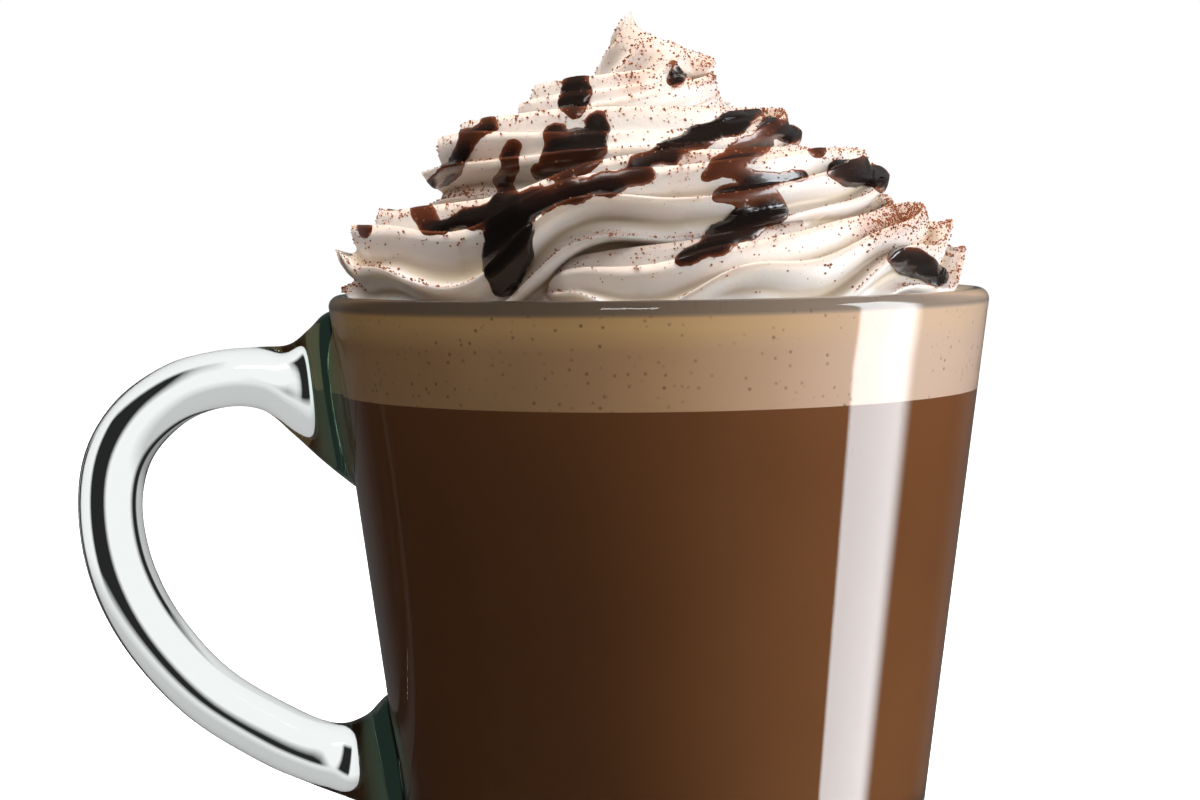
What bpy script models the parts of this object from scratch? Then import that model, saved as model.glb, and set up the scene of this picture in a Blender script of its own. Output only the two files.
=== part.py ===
"""A caffe mocha in a clear glass mug: espresso drink, milk foam and a piped swirl of whipped cream.

Frame: metres, +Z up. The origin is the centre of the mug's foot, on the surface that it stands on.
The handle points to -X and the front of the mug is -Y. Heights in the cream are measured from the
mug's rim, because the cream is piped on to the drink from there.
"""
import math

import bmesh
import bpy
from mathutils import Vector
from mathutils.bvhtree import BVHTree

MM = 0.001
MERGE_DISTANCE = 0.002 * MM      # points closer than this are one point

# ---- the mug -------------------------------------------------------------------------------------
MUG_HEIGHT = 82 * MM
RIM_RADIUS = 48 * MM             # outside, a 96 mm mouth
TAPER = 0.1256                   # loss of outer radius for each unit of depth below the rim
RIM_WALL = 3.2 * MM
LOW_WALL = 4.0 * MM              # the wall at the floor, a little thicker than at the rim
BASE_THICKNESS = 8.0 * MM
HEEL_RADIUS = 3.0 * MM           # rounding between the wall and the foot
FLOOR_CORNER = 4.0 * MM          # rounding inside, between the wall and the floor
ROUND_SEGMENTS = 64

# ---- what is in it -------------------------------------------------------------------------------
GAP = 0.3 * MM                   # room left between neighbouring solids
FOAM_LINE = MUG_HEIGHT - 14.0 * MM
FOAM_TOP = MUG_HEIGHT - 1.8 * MM
CREAM_BASE = FOAM_TOP + GAP

# ---- the handle ----------------------------------------------------------------------------------
# Pairs of points in the plane y = 0, on the outer and on the inner side of the handle, in
# millimetres from the axis and below the rim, each with the half width of the handle there.
# The first and the last pair lie inside the glass of the wall.
HANDLE_SECTIONS = [
    ((-46.3, -1.8), (-43.0, -29.4), 11.0),
    ((-49.0, -2.9), (-45.2, -28.0), 8.6),
    ((-51.2, -5.0), (-49.6, -24.4), 6.2),
    ((-54.2, -7.2), (-53.6, -20.6), 5.0),
    ((-58.6, -7.5), (-58.0, -16.9), 4.6),
    ((-65.0, -8.0), (-63.4, -16.3), 4.4),
    ((-72.4, -10.0), (-69.0, -18.1), 4.4),
    ((-79.8, -15.1), (-73.8, -22.4), 4.5),
    ((-84.6, -22.8), (-76.0, -27.2), 4.6),
    ((-85.8, -32.4), (-76.4, -33.2), 4.7),
    ((-84.0, -42.8), (-74.8, -40.4), 4.7),
    ((-79.0, -52.8), (-71.0, -47.8), 4.7),
    ((-70.6, -62.3), (-64.4, -55.4), 4.7),
    ((-60.2, -69.2), (-55.8, -60.9), 4.7),
    ((-52.4, -72.8), (-49.0, -63.8), 4.8),
    ((-47.2, -74.9), (-44.4, -62.8), 5.8),
    ((-40.0, -77.6), (-41.4, -60.0), 8.6),
    ((-37.2, -78.2), (-39.2, -58.9), 10.0),
]
HANDLE_SIDES = 14
HANDLE_STEPS = 2                 # sections made between one pair and the next

# ---- the whipped cream ---------------------------------------------------------------------------
# One fluted rope, piped from the front in a rising spiral, anticlockwise from above. Each key is:
# turns from the start, rope centre's distance from the spiral's axis, its height above the rim, and
# the rope's radius, in millimetres.
CREAM_AXIS_X = -0.9 * MM
CREAM_START_ANGLE = math.radians(-105)
ROPE_KEYS = [
    (0.00, 35.0, -0.6, 6.4),
    (0.05, 37.0, -0.4, 7.6),
    (0.18, 37.2, 2.4, 8.7),
    (0.25, 36.6, 3.4, 8.9),
    (0.50, 36.2, 3.4, 9.0),
    (0.75, 37.2, 3.4, 9.0),
    (0.90, 35.6, 4.0, 8.8),
    (0.95, 33.6, 5.4, 8.6),
    (1.02, 31.2, 10.2, 8.0),
    (1.12, 29.6, 11.6, 8.0),
    (1.25, 27.8, 12.4, 7.8),
    (1.50, 26.8, 14.4, 8.0),
    (1.75, 25.6, 16.4, 8.0),
    (1.92, 22.8, 17.4, 7.8),
    (2.05, 19.4, 18.2, 7.4),
    (2.25, 16.6, 19.4, 6.9),
    (2.50, 15.6, 21.6, 6.6),
    (2.75, 15.0, 23.4, 6.3),
    (2.95, 11.8, 24.8, 6.0),
    (3.10, 8.8, 26.0, 5.6),
    (3.30, 6.4, 27.2, 4.8),
    (3.42, 5.4, 27.8, 3.4),
    (3.52, 4.8, 28.0, 1.2),
]
FLUTES = 10                      # crests round the rope, from the star nozzle
# The next five lists start each row with the turns from the start. How deep the grooves are, as
# a share of the rope's radius.
FLUTE_DEPTHS = [(0.0, 0.31), (3.2, 0.31), (3.55, 0.17), (3.8, 0.12)]
# How far the flutes have wound round the rope, in degrees: they wind where it climbs at the front
# right, and else run straight.
FLUTE_WINDING = [(0.0, -4.0), (0.06, 4.0), (0.26, 68.0), (0.38, 72.0), (0.98, 74.0), (1.10, 84.0),
                 (1.30, 140.0), (1.42, 144.0), (1.98, 146.0), (2.10, 158.0), (2.30, 212.0),
                 (2.42, 216.0), (2.95, 218.0), (3.30, 280.0), (3.80, 300.0)]
# Every second crest is as sharp as the others at 1 and gone at 0.
SECOND_CRESTS = [(0.0, 1.0), (1.2, 1.0), (1.88, 1.0), (2.0, 0.15), (2.12, 0.15), (2.28, 0.8),
                 (2.8, 0.6), (3.2, 0.1), (3.8, 0.0)]
# Waves along the crests where the rope was laid with slack: their height in millimetres.
RUFFLE_HEIGHTS = [(0.0, 1.4), (0.2, 1.6), (0.86, 1.3), (0.95, 0.4), (1.2, 0.3), (1.5, 0.6), (1.9, 0.2),
                  (3.8, 0.0)]
# How far the outer crests sag, in millimetres: once, where the rope climbs over its own start.
CREST_SAG = [(0.0, 0.0), (0.86, 0.0), (0.925, -5.0), (0.985, 1.5), (1.05, 0.0), (3.8, 0.0)]
OUTER_CRESTS = math.radians(20)  # the waves and the sag are strongest this far below the middle
RUFFLE_LENGTH = 21 * MM
RUFFLE_START = 6 * MM
RUFFLE_DRIFT = 23 * MM           # the length of the waves changes slowly over this run
CHUNK_TURNS = 0.41               # the rope is joined from lengths that don't reach each other
RING_SPACING = 3.7 * MM
PLUG_SCALE = 0.985               # each length ends in a slightly smaller ring inside the next
NOSE = [(-0.022, 0.3), (-0.014, 0.72)]   # the rounded start: turns, and share of the full ring

# The swirl ends in a dollop with a tip that was pulled to the left. Each key is: height above the
# rim, the middle's place across and in depth, the radius, how much the ring rises for each unit to
# the right, and how far its crests have wound (millimetres and degrees).
DOLLOP_KEYS = [
    (23.0, 0.8, 0.6, 5.6, 0.10, 0),
    (27.4, 0.2, 0.4, 7.4, 0.20, 20),
    (29.6, 0.0, 0.2, 9.2, 0.22, 32),
    (31.2, -0.2, 0.0, 9.3, 0.18, 45),
    (33.4, -0.5, 0.0, 7.6, 0.10, 65),
    (35.0, -1.4, 0.0, 5.9, 0.05, 85),
    (36.2, -2.6, 0.0, 3.9, 0.0, 105),
    (37.6, -3.6, 0.0, 2.2, 0.0, 125),
    (39.0, -3.8, 0.0, 1.05, 0.0, 140),
    (40.3, -3.3, 0.0, 0.2, 0.0, 150),
]
DOLLOP_CRESTS = 6
DOLLOP_DEPTH = 0.2               # of the grooves, as a share of the radius
DOLLOP_SPACING = 1.2 * MM

# A turned core closes the middle of the swirl: distance from the axis and height above the rim.
CORE_PROFILE = [(0, 31.0), (4.5, 29.0), (11.5, 24.6), (18.5, 20.0), (23.5, 15.5), (30.5, 9.0),
                (36.0, 2.0), (38.0, -4.0)]
CORE_SEGMENTS = 28

# ---- the syrup -----------------------------------------------------------------------------------
# Strands and drops as they are seen from the front: points on the upright plane through the mug's
# axis (millimetres across and above the rim) with the width there. They are carried on to the
# cream along lines from a point in front of the mug. Each ends with its thickness in millimetres.
POUR_EYE = Vector((-8.6 * MM, -300 * MM, MUG_HEIGHT + 8.2 * MM))
SYRUP_STRANDS = [
    ([(-24.0, 24.6, 2.2), (-27.4, 22.4, 2.6), (-29.4, 18.0, 2.6), (-32.4, 16.2, 2.4),
      (-35.4, 13.4, 2.0)], 1.1),
    ([(-42.6, 9.6, 2.2), (-42.0, 10.4, 2.2)], 0.8),
    ([(-35.2, 12.0, 3.2), (-33.4, 10.6, 4.0)], 0.9),
    ([(-11.4, 31.0, 3.6), (-11.6, 27.6, 4.6)], 1.4),
    ([(3.0, 32.8, 1.6), (3.4, 30.6, 2.6)], 1.0),
    ([(-14.6, 23.4, 3.0), (-14.0, 21.2, 4.0), (-15.0, 18.4, 4.4)], 1.1),
    ([(-8.6, 24.4, 3.4), (-8.6, 21.2, 3.8), (-11.0, 18.4, 4.0), (-17.0, 17.6, 2.6)], 1.1),
    ([(-20.6, 21.4, 2.4), (-21.4, 19.2, 2.8), (-22.0, 16.4, 3.0), (-21.6, 14.2, 3.0)], 0.9),
    ([(-31.2, 9.6, 2.2), (-27.6, 10.8, 3.2), (-20.0, 12.4, 3.8), (-12.4, 14.6, 4.0), (-7.0, 15.6, 3.4),
      (-1.0, 17.2, 2.4)], 1.4),
    ([(-21.4, 11.0, 6.4), (-21.6, 7.0, 5.8), (-22.2, 3.4, 5.4), (-22.4, 1.2, 3.6)], 1.7),
    ([(-2.6, 18.6, 2.6), (2.0, 20.0, 3.4), (6.0, 22.0, 3.6), (12.6, 24.6, 3.6), (14.4, 26.0, 2.6)], 1.4),
    ([(16.4, 23.4, 2.8), (19.6, 23.0, 3.0), (22.0, 21.4, 2.8), (23.6, 19.8, 2.0)], 1.2),
    ([(16.2, 23.0, 3.2), (15.4, 21.2, 3.4), (11.6, 19.4, 3.4), (7.4, 16.6, 2.2)], 1.2),
    ([(11.0, 17.4, 2.6), (15.0, 15.4, 3.0), (21.6, 16.6, 1.2)], 0.9),
    ([(9.4, 13.6, 2.4), (14.6, 14.2, 3.2), (17.4, 12.0, 3.0)], 0.9),
    ([(17.4, 11.0, 3.4), (13.0, 9.4, 5.0), (8.0, 6.4, 4.0), (3.6, 4.2, 2.0)], 1.5),
    ([(26.6, 17.0, 3.2), (30.0, 16.6, 4.2), (34.0, 15.0, 2.6)], 1.5),
    ([(36.0, 4.0, 3.6), (38.6, 2.8, 4.6), (41.4, 1.4, 2.6)], 1.6),
]
# Strands on the far side, which run on from those that go over the top. Angle in degrees from +X,
# height above the rim and width, at the cream's outer side.
BACK_STRANDS = [
    [(150, 26.0, 3.0), (136, 21.0, 3.4), (124, 17.5, 3.2), (108, 13.0, 3.8), (98, 8.0, 3.4)],
    [(62, 27.0, 3.0), (76, 24.0, 3.4), (92, 21.0, 3.2), (112, 19.0, 2.6)],
    [(30, 16.0, 3.0), (44, 13.0, 3.8), (56, 9.0, 4.0), (60, 4.0, 3.4)],
    [(168, 18.0, 2.8), (160, 12.0, 3.6), (152, 7.0, 3.2)],
]
BACK_THICKNESS = 1.3
STRAND_STEP = 3.0 * MM
STRAND_BREAK = 7.0 * MM          # a longer jump than this leaves a gap between two strands
STRAND_SINK = 1.2 * MM           # how far a strand reaches into the cream


def remove_everything():
    for old in list(bpy.data.objects):
        bpy.data.objects.remove(old)


def new_collection(name):
    collection = bpy.data.collections.new(name)
    bpy.context.scene.collection.children.link(collection)
    return collection


def new_material(name, colour, roughness, transmission=0.0, ior=1.45):
    material = bpy.data.materials.new(name)
    material.use_nodes = True
    shader = material.node_tree.nodes["Principled BSDF"]
    shader.inputs["Base Color"].default_value = (*colour, 1)
    shader.inputs["Roughness"].default_value = roughness
    shader.inputs["Metallic"].default_value = 0.0
    shader.inputs["Transmission Weight"].default_value = transmission
    shader.inputs["IOR"].default_value = ior
    return material


def new_object(name, mesh, collection, material=None):
    thing = bpy.data.objects.new(name, mesh)
    collection.objects.link(thing)
    if material:
        mesh.materials.append(material)
    return thing


def catmull_rom(a, b, c, d, u):
    return 0.5 * (2 * b + (c - a) * u + (2 * a - 5 * b + 4 * c - d) * u ** 2
                  + (3 * b - a - 3 * c + d) * u ** 3)


def read_keys(keys, at):
    """The values of keyed rows at one place, smooth through every key (cubic Hermite)."""
    at = min(max(at, keys[0][0]), keys[-1][0])
    k = max(i for i in range(len(keys) - 1) if keys[i][0] <= at)

    def slope(i, column):
        lo = max(i - 1, 0)
        hi = min(i + 1, len(keys) - 1)
        return (keys[hi][column] - keys[lo][column]) / (keys[hi][0] - keys[lo][0])

    span = keys[k + 1][0] - keys[k][0]
    u = (at - keys[k][0]) / span
    values = []
    for column in range(1, len(keys[0])):
        here = keys[k][column]
        there = keys[k + 1][column]
        values.append((2 * u ** 3 - 3 * u ** 2 + 1) * here
                      + (u ** 3 - 2 * u ** 2 + u) * span * slope(k, column)
                      + (3 * u ** 2 - 2 * u ** 3) * there
                      + (u ** 3 - u ** 2) * span * slope(k + 1, column))
    return values


def arc(centre_x, centre_z, radius, start, end, steps):
    """Points of a circular arc in a profile, with angles in degrees."""
    points = []
    for i in range(steps + 1):
        angle = math.radians(start + (end - start) * i / steps)
        points.append((centre_x + radius * math.cos(angle), centre_z + radius * math.sin(angle)))
    return points


def turned(name, profile, segments, collection, material=None):
    """A solid turned about Z from a profile that ends and starts on the axis."""
    mesh = bpy.data.meshes.new(name)
    shape = bmesh.new()
    row = [shape.verts.new((x, 0, z)) for x, z in profile]
    for a, b in zip(row, row[1:]):
        shape.edges.new((a, b))
    shape.to_mesh(mesh)
    shape.free()
    thing = new_object(name, mesh, collection, material)
    screw = thing.modifiers.new("turn", "SCREW")
    screw.axis = "Z"
    screw.steps = segments
    screw.render_steps = segments
    screw.use_merge_vertices = True
    screw.merge_threshold = 0.00001
    bake(thing)
    return thing


def bake(thing):
    """Apply an object's modifiers to its mesh."""
    bpy.context.view_layer.update()
    evaluated = thing.evaluated_get(bpy.context.evaluated_depsgraph_get())
    mesh = bpy.data.meshes.new_from_object(evaluated)
    thing.modifiers.clear()
    thing.data = mesh


def skin(rings):
    """A closed mesh through rings of points, each end closed by a fan about its middle."""
    shape = bmesh.new()
    made = [[shape.verts.new(point) for point in ring] for ring in rings]
    count = len(made[0])
    for ring, following in zip(made, made[1:]):
        for j in range(count):
            k = (j + 1) % count
            shape.faces.new((ring[j], following[j], following[k], ring[k]))
    for ring, turn in ((made[0], 1), (made[-1], -1)):
        middle = shape.verts.new(sum((v.co for v in ring), Vector()) / count)
        for j in range(count):
            k = (j + 1) % count
            shape.faces.new((ring[j], ring[k], middle)[::turn])
    bmesh.ops.triangulate(shape, faces=shape.faces)
    bmesh.ops.recalc_face_normals(shape, faces=shape.faces)
    mesh = bpy.data.meshes.new("skin")
    shape.to_mesh(mesh)
    shape.free()
    return mesh


def combine(thing, operation, other=None, collection=None, solver="EXACT"):
    join = thing.modifiers.new(operation.lower(), "BOOLEAN")
    join.operation = operation
    join.solver = solver
    if collection:
        join.operand_type = "COLLECTION"
        join.collection = collection
    else:
        join.object = other
    bake(thing)


def keep_largest_shell(thing):
    """Drop loose scraps and fill sealed hollows: only the shell with the most faces stays."""
    shape = bmesh.new()
    shape.from_mesh(thing.data)
    bmesh.ops.remove_doubles(shape, verts=shape.verts, dist=MERGE_DISTANCE)
    todo = set(shape.faces)
    shells = []
    while todo:
        shell = []
        front = [todo.pop()]
        while front:
            face = front.pop()
            shell.append(face)
            for edge in face.edges:
                if len(edge.link_faces) == 2:
                    for other in edge.link_faces:
                        if other in todo:
                            todo.remove(other)
                            front.append(other)
        shells.append(shell)
    shells.sort(key=len)
    for shell in shells[:-1]:
        bmesh.ops.delete(shape, geom=shell, context="FACES")
    loose = [vert for vert in shape.verts if not vert.link_faces]
    bmesh.ops.delete(shape, geom=loose, context="VERTS")
    shape.to_mesh(thing.data)
    shape.free()


# ---- glass ---------------------------------------------------------------------------------------
def outer_radius(z):
    return RIM_RADIUS - TAPER * (MUG_HEIGHT - z)


def wall_thickness(z):
    share = (MUG_HEIGHT - z) / (MUG_HEIGHT - BASE_THICKNESS)
    return RIM_WALL + (LOW_WALL - RIM_WALL) * share


def inner_radius(z):
    return outer_radius(z) - wall_thickness(z)


def make_cup(collection, material):
    lip = RIM_WALL / 2
    lip_z = MUG_HEIGHT - lip
    lip_x = outer_radius(lip_z) - lip
    corner_z = BASE_THICKNESS + FLOOR_CORNER
    corner_x = inner_radius(corner_z) - FLOOR_CORNER
    heel_x = outer_radius(HEEL_RADIUS) - HEEL_RADIUS
    profile = [(0, BASE_THICKNESS)]
    profile += arc(corner_x, corner_z, FLOOR_CORNER, -90, 0, 4)
    profile += arc(lip_x, lip_z, lip, 180, 0, 6)
    profile += arc(heel_x, HEEL_RADIUS, HEEL_RADIUS, 0, -90, 3)
    profile += [(0, 0)]
    return turned("glass_mug", profile, ROUND_SEGMENTS, collection, material)


def make_handle(collection):
    """Ellipses across the handle, each spanning from its outer to its inner point."""
    rows = []
    for outer, inner, half_width in HANDLE_SECTIONS:
        rows.append((Vector((outer[0], 0, outer[1])), Vector((inner[0], 0, inner[1])), half_width))
    sections = []
    for k in range(len(rows) - 1):
        four = [rows[min(max(i, 0), len(rows) - 1)] for i in (k - 1, k, k + 1, k + 2)]
        for step in range(HANDLE_STEPS):
            u = step / HANDLE_STEPS
            sections.append([catmull_rom(*[row[c] for row in four], u) for c in range(3)])
    sections.append(rows[-1])
    rim = Vector((0, 0, MUG_HEIGHT))
    rings = []
    for outer, inner, half_width in sections:
        centre = (outer + inner) / 2
        reach = (outer - inner) / 2
        ring = []
        for j in range(HANDLE_SIDES):
            angle = 2 * math.pi * j / HANDLE_SIDES
            across = Vector((0, half_width * math.sin(angle), 0))
            ring.append(rim + (centre + reach * math.cos(angle) + across) * MM)
        rings.append(ring)
    return new_object("handle", skin(rings), collection)


# ---- drink ---------------------------------------------------------------------------------------
def make_layer(name, low, high, collection, material, rounded=False):
    """A layer of the drink: it fills the mug's bore from one height to another, less the gap."""
    if rounded:
        corner_z = low + FLOOR_CORNER
        corner_x = inner_radius(corner_z) - GAP - FLOOR_CORNER
        side = arc(corner_x, corner_z, FLOOR_CORNER, 0, -90, 4)
    else:
        side = [(inner_radius(low) - GAP, low)]
    profile = [(0, high), (inner_radius(high) - GAP, high)] + side + [(0, low)]
    return turned(name, profile, ROUND_SEGMENTS, collection, material)


# ---- cream ---------------------------------------------------------------------------------------
def rope_centre(turns):
    distance, height, radius = read_keys(ROPE_KEYS, turns)
    angle = CREAM_START_ANGLE + 2 * math.pi * turns
    return Vector((CREAM_AXIS_X + distance * MM * math.cos(angle),
                   distance * MM * math.sin(angle),
                   MUG_HEIGHT + height * MM)), radius * MM, angle


def rope_ring(turns, run, scale=1.0):
    """One star-shaped section of the rope: a point on each crest and one in each groove."""
    centre, radius, angle = rope_centre(turns)
    ahead = rope_centre(turns + 0.01)[0] - rope_centre(turns - 0.01)[0]
    ahead.normalize()
    outward = Vector((math.cos(angle), math.sin(angle), 0))
    outward = (outward - ahead * outward.dot(ahead)).normalized()
    up = outward.cross(ahead)
    winding = math.radians(read_keys(FLUTE_WINDING, turns)[0])
    depth = read_keys(FLUTE_DEPTHS, turns)[0]
    second = min(max(read_keys(SECOND_CRESTS, turns)[0], 0.0), 1.0)
    wave = math.sin(2 * math.pi * (run + RUFFLE_START) / RUFFLE_LENGTH + 0.6 * math.sin(run / RUFFLE_DRIFT))
    rise = (read_keys(RUFFLE_HEIGHTS, turns)[0] * wave + read_keys(CREST_SAG, turns)[0]) * MM
    ring = []
    for j in range(2 * FLUTES):
        round_rope = math.pi * j / FLUTES
        phi = winding + round_rope
        wide_groove = abs(math.sin(FLUTES * round_rope / 4))
        narrow_groove = abs(math.sin(FLUTES * round_rope / 2))
        groove = wide_groove + (narrow_groove - wide_groove) * second
        reach = radius * scale * (1 - depth * groove)
        lift = rise * max(0.0, math.cos(phi + OUTER_CRESTS)) ** 2
        ring.append(centre + outward * reach * math.cos(phi) + up * (reach * math.sin(phi) + lift))
    return ring


def make_rope(collection):
    """The rope in lengths: each is a closed piece that ends inside the next one."""
    last = ROPE_KEYS[-1][0]
    places = [0.0]
    runs = [0.0]
    while places[-1] < last:
        distance = read_keys(ROPE_KEYS, places[-1])[0] * MM
        radius = read_keys(ROPE_KEYS, places[-1])[2] * MM
        spacing = RING_SPACING * min(1.0, 0.35 + radius / (9 * MM) * 0.65)
        step = spacing / (2 * math.pi * max(distance, 5.5 * MM))
        runs.append(runs[-1] + spacing)
        places.append(min(places[-1] + step, last))
    start = 0
    number = 0
    while start < len(places) - 1:
        end = start
        while end < len(places) - 1 and places[end] - places[start] < CHUNK_TURNS:
            end += 1
        rings = []
        if start == 0:
            rings = [rope_ring(turns, 0.0, share) for turns, share in NOSE]
        for i in range(start, end + 1):
            first = i == start and start > 0
            plug = i == end and end < len(places) - 1
            rings.append(rope_ring(places[i], runs[i], PLUG_SCALE if first or plug else 1.0))
        new_object(f"rope_{number}", skin(rings), collection)
        number += 1
        if end == len(places) - 1:
            break
        start = end - 1


def make_dollop(collection):
    low = DOLLOP_KEYS[0][0]
    high = DOLLOP_KEYS[-1][0]
    count = round((high - low) * MM / DOLLOP_SPACING)
    rings = []
    for i in range(count + 1):
        height = low + (high - low) * i / count
        across, deep, radius, tilt, winding = read_keys(DOLLOP_KEYS, height)
        ring = []
        for j in range(2 * DOLLOP_CRESTS):
            turn = math.radians(winding) + math.pi * j / DOLLOP_CRESTS
            reach = radius * (1 - DOLLOP_DEPTH * (j % 2))
            x = reach * math.cos(turn)
            ring.append(Vector((across + x, deep + reach * math.sin(turn), height + tilt * x)) * MM
                        + Vector((0, 0, MUG_HEIGHT)))
        rings.append(ring)
    new_object("dollop", skin(rings), collection)


def make_core(collection):
    profile = [(x * MM, MUG_HEIGHT + z * MM) for x, z in CORE_PROFILE]
    profile.append((0, profile[-1][1]))
    core = turned("core", profile, CORE_SEGMENTS, collection)
    for vert in core.data.vertices:
        vert.co.x += CREAM_AXIS_X
    return core


def make_clearance(collection):
    """What the cream may not enter: the glass, and all that is lower than the foam's surface."""
    lip_clear = MUG_HEIGHT + GAP
    profile = [(0, CREAM_BASE)]
    profile += [(inner_radius(CREAM_BASE) - GAP, CREAM_BASE)]
    profile += [(inner_radius(MUG_HEIGHT - RIM_WALL / 2) - GAP, MUG_HEIGHT - RIM_WALL / 2)]
    profile += [(inner_radius(MUG_HEIGHT) + 0.7 * MM, lip_clear)]
    profile += [(RIM_RADIUS + 10 * MM, lip_clear), (RIM_RADIUS + 10 * MM, FOAM_LINE), (0, FOAM_LINE)]
    return turned("clearance", profile, ROUND_SEGMENTS, collection)


def resample(points, spacing):
    """Points at even steps along a broken line, with every value read between its ends."""
    out = []
    for a, b in zip(points, points[1:]):
        length = math.dist(a[:2], b[:2]) * MM
        count = max(1, round(length / spacing))
        for i in range(count):
            out.append([p + (q - p) * i / count for p, q in zip(a, b)])
    out.append(list(points[-1]))
    return out


def strand_mesh(places, normals, widths, thickness):
    """A flat-bottomed, round-topped strand through places on the cream."""
    rings = []
    count = len(places)
    for i in range(count):
        ahead = (places[min(i + 1, count - 1)] - places[max(i - 1, 0)]).normalized()
        side = ahead.cross(normals[i]).normalized()
        top = side.cross(ahead).normalized()
        half = widths[i] / 2
        ring = []
        for across, rise in ((-1, -0.2), (-0.72, 0.62), (0, 1), (0.72, 0.62), (1, -0.2)):
            ring.append(places[i] + side * half * across + top * thickness * rise)
        ring.append(places[i] - top * STRAND_SINK)
        rings.append(ring)
    for ring, following, sign in ((rings[0], rings[1], -1), (rings[-1], rings[-2], -1)):
        middle = sum(ring, Vector()) / len(ring)
        push = (middle - sum(following, Vector()) / len(following)).normalized() * thickness
        tip = [middle + (point - middle) * 0.45 + push for point in ring]
        if ring is rings[0]:
            rings.insert(0, tip)
        else:
            rings.append(tip)
    return skin(rings)


def lay_strand(number, hits, widths, thickness, collection):
    """Lay a strand, broken where the cream behind it drops away from one point to the next."""
    for i in range(1, len(hits)):
        if (hits[i][0] - hits[i - 1][0]).length > STRAND_BREAK:
            lay_strand(f"{number}a", hits[:i], widths[:i], thickness, collection)
            lay_strand(f"{number}b", hits[i:], widths[i:], thickness, collection)
            return
    if len(hits) < 2:
        return
    places = [hit[0] for hit in hits]
    smooth = [(places[max(i - 1, 0)] + places[i] * 2 + places[min(i + 1, len(places) - 1)]) / 4
              for i in range(len(places))]
    mesh = strand_mesh(smooth, [hit[1] for hit in hits], widths, thickness)
    new_object(f"syrup_{number}", mesh, collection)


def make_syrup(surface, collection):
    number = 0
    for points, thickness in SYRUP_STRANDS:
        hits = []
        widths = []
        for x, z, width in resample(points, STRAND_STEP):
            target = Vector((x * MM, 0, MUG_HEIGHT + z * MM))
            place, normal, _, _ = surface.ray_cast(POUR_EYE, (target - POUR_EYE).normalized())
            if place:
                hits.append((place, normal))
                widths.append(width * MM)
        lay_strand(number, hits, widths, thickness * MM, collection)
        number += 1
    for points in BACK_STRANDS:
        hits = []
        widths = []
        for angle, height, width in resample([(a, z, w) for a, z, w in points], 8 * MM):
            turn = math.radians(angle)
            start = Vector((60 * MM * math.cos(turn), 60 * MM * math.sin(turn), MUG_HEIGHT + height * MM))
            place, normal, _, _ = surface.ray_cast(start, Vector((-math.cos(turn), -math.sin(turn), 0)))
            if place:
                hits.append((place, normal))
                widths.append(width * MM)
        lay_strand(number, hits, widths, BACK_THICKNESS * MM, collection)
        number += 1


def surface_of(thing):
    return BVHTree.FromPolygons([v.co.copy() for v in thing.data.vertices],
                                [tuple(p.vertices) for p in thing.data.polygons])


def empty_out(collection):
    for piece in list(collection.objects):
        bpy.data.objects.remove(piece)


def make_cream(collection, material, helpers):
    rope_lengths = new_collection("rope lengths")
    syrup = new_collection("syrup strands")
    cream = make_core(collection)
    cream.name = "whipped_cream"
    make_rope(rope_lengths)
    make_dollop(rope_lengths)
    combine(cream, "UNION", collection=rope_lengths, solver="MANIFOLD")
    keep_largest_shell(cream)
    make_syrup(surface_of(cream), syrup)
    combine(cream, "UNION", collection=syrup, solver="MANIFOLD")
    clearance = make_clearance(helpers)
    combine(cream, "DIFFERENCE", other=clearance, solver="MANIFOLD")
    keep_largest_shell(cream)
    empty_out(rope_lengths)
    empty_out(syrup)
    bpy.data.objects.remove(clearance)
    cream.data.materials.clear()
    cream.data.materials.append(material)
    return cream


def shade(thing, angle=35):
    thing.data.shade_smooth()
    thing.data.set_sharp_from_angle(angle=math.radians(angle))


def build():
    remove_everything()
    drink = new_collection("caffe mocha")
    helpers = new_collection("cutters")
    glass = new_material("clear glass", (0.93, 0.97, 0.95), 0.02, transmission=1.0, ior=1.5)
    coffee = new_material("mocha", (0.09, 0.035, 0.014), 0.2)
    foam = new_material("milk foam", (0.46, 0.31, 0.20), 0.5)
    white = new_material("whipped cream", (0.86, 0.80, 0.74), 0.45)

    mug = make_cup(drink, glass)
    handle = make_handle(helpers)
    combine(mug, "UNION", other=handle)
    bpy.data.objects.remove(handle)
    keep_largest_shell(mug)
    layers = [
        make_layer("mocha", BASE_THICKNESS + GAP, FOAM_LINE - GAP / 2, drink, coffee, rounded=True),
        make_layer("milk_foam", FOAM_LINE + GAP / 2, FOAM_TOP, drink, foam),
    ]
    cream = make_cream(drink, white, helpers)
    for thing in [mug, cream] + layers:
        shade(thing)


build()
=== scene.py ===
# %% [markdown]
# # A caffe mocha with whipped cream
# A clear pressed-glass mug holds three things on top of one another: the brown drink, a layer of
# milk foam, and a swirl of whipped cream with chocolate syrup and cocoa powder on it.
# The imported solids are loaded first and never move. Each piece below is then made at fine detail
# in the place of its solid, and the last cells set the light, the floor and the camera.

# %% Load the frame
import math

import bmesh
import bpy
import numpy as np
from mathutils import Matrix, Vector
from mathutils.bvhtree import BVHTree


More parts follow.
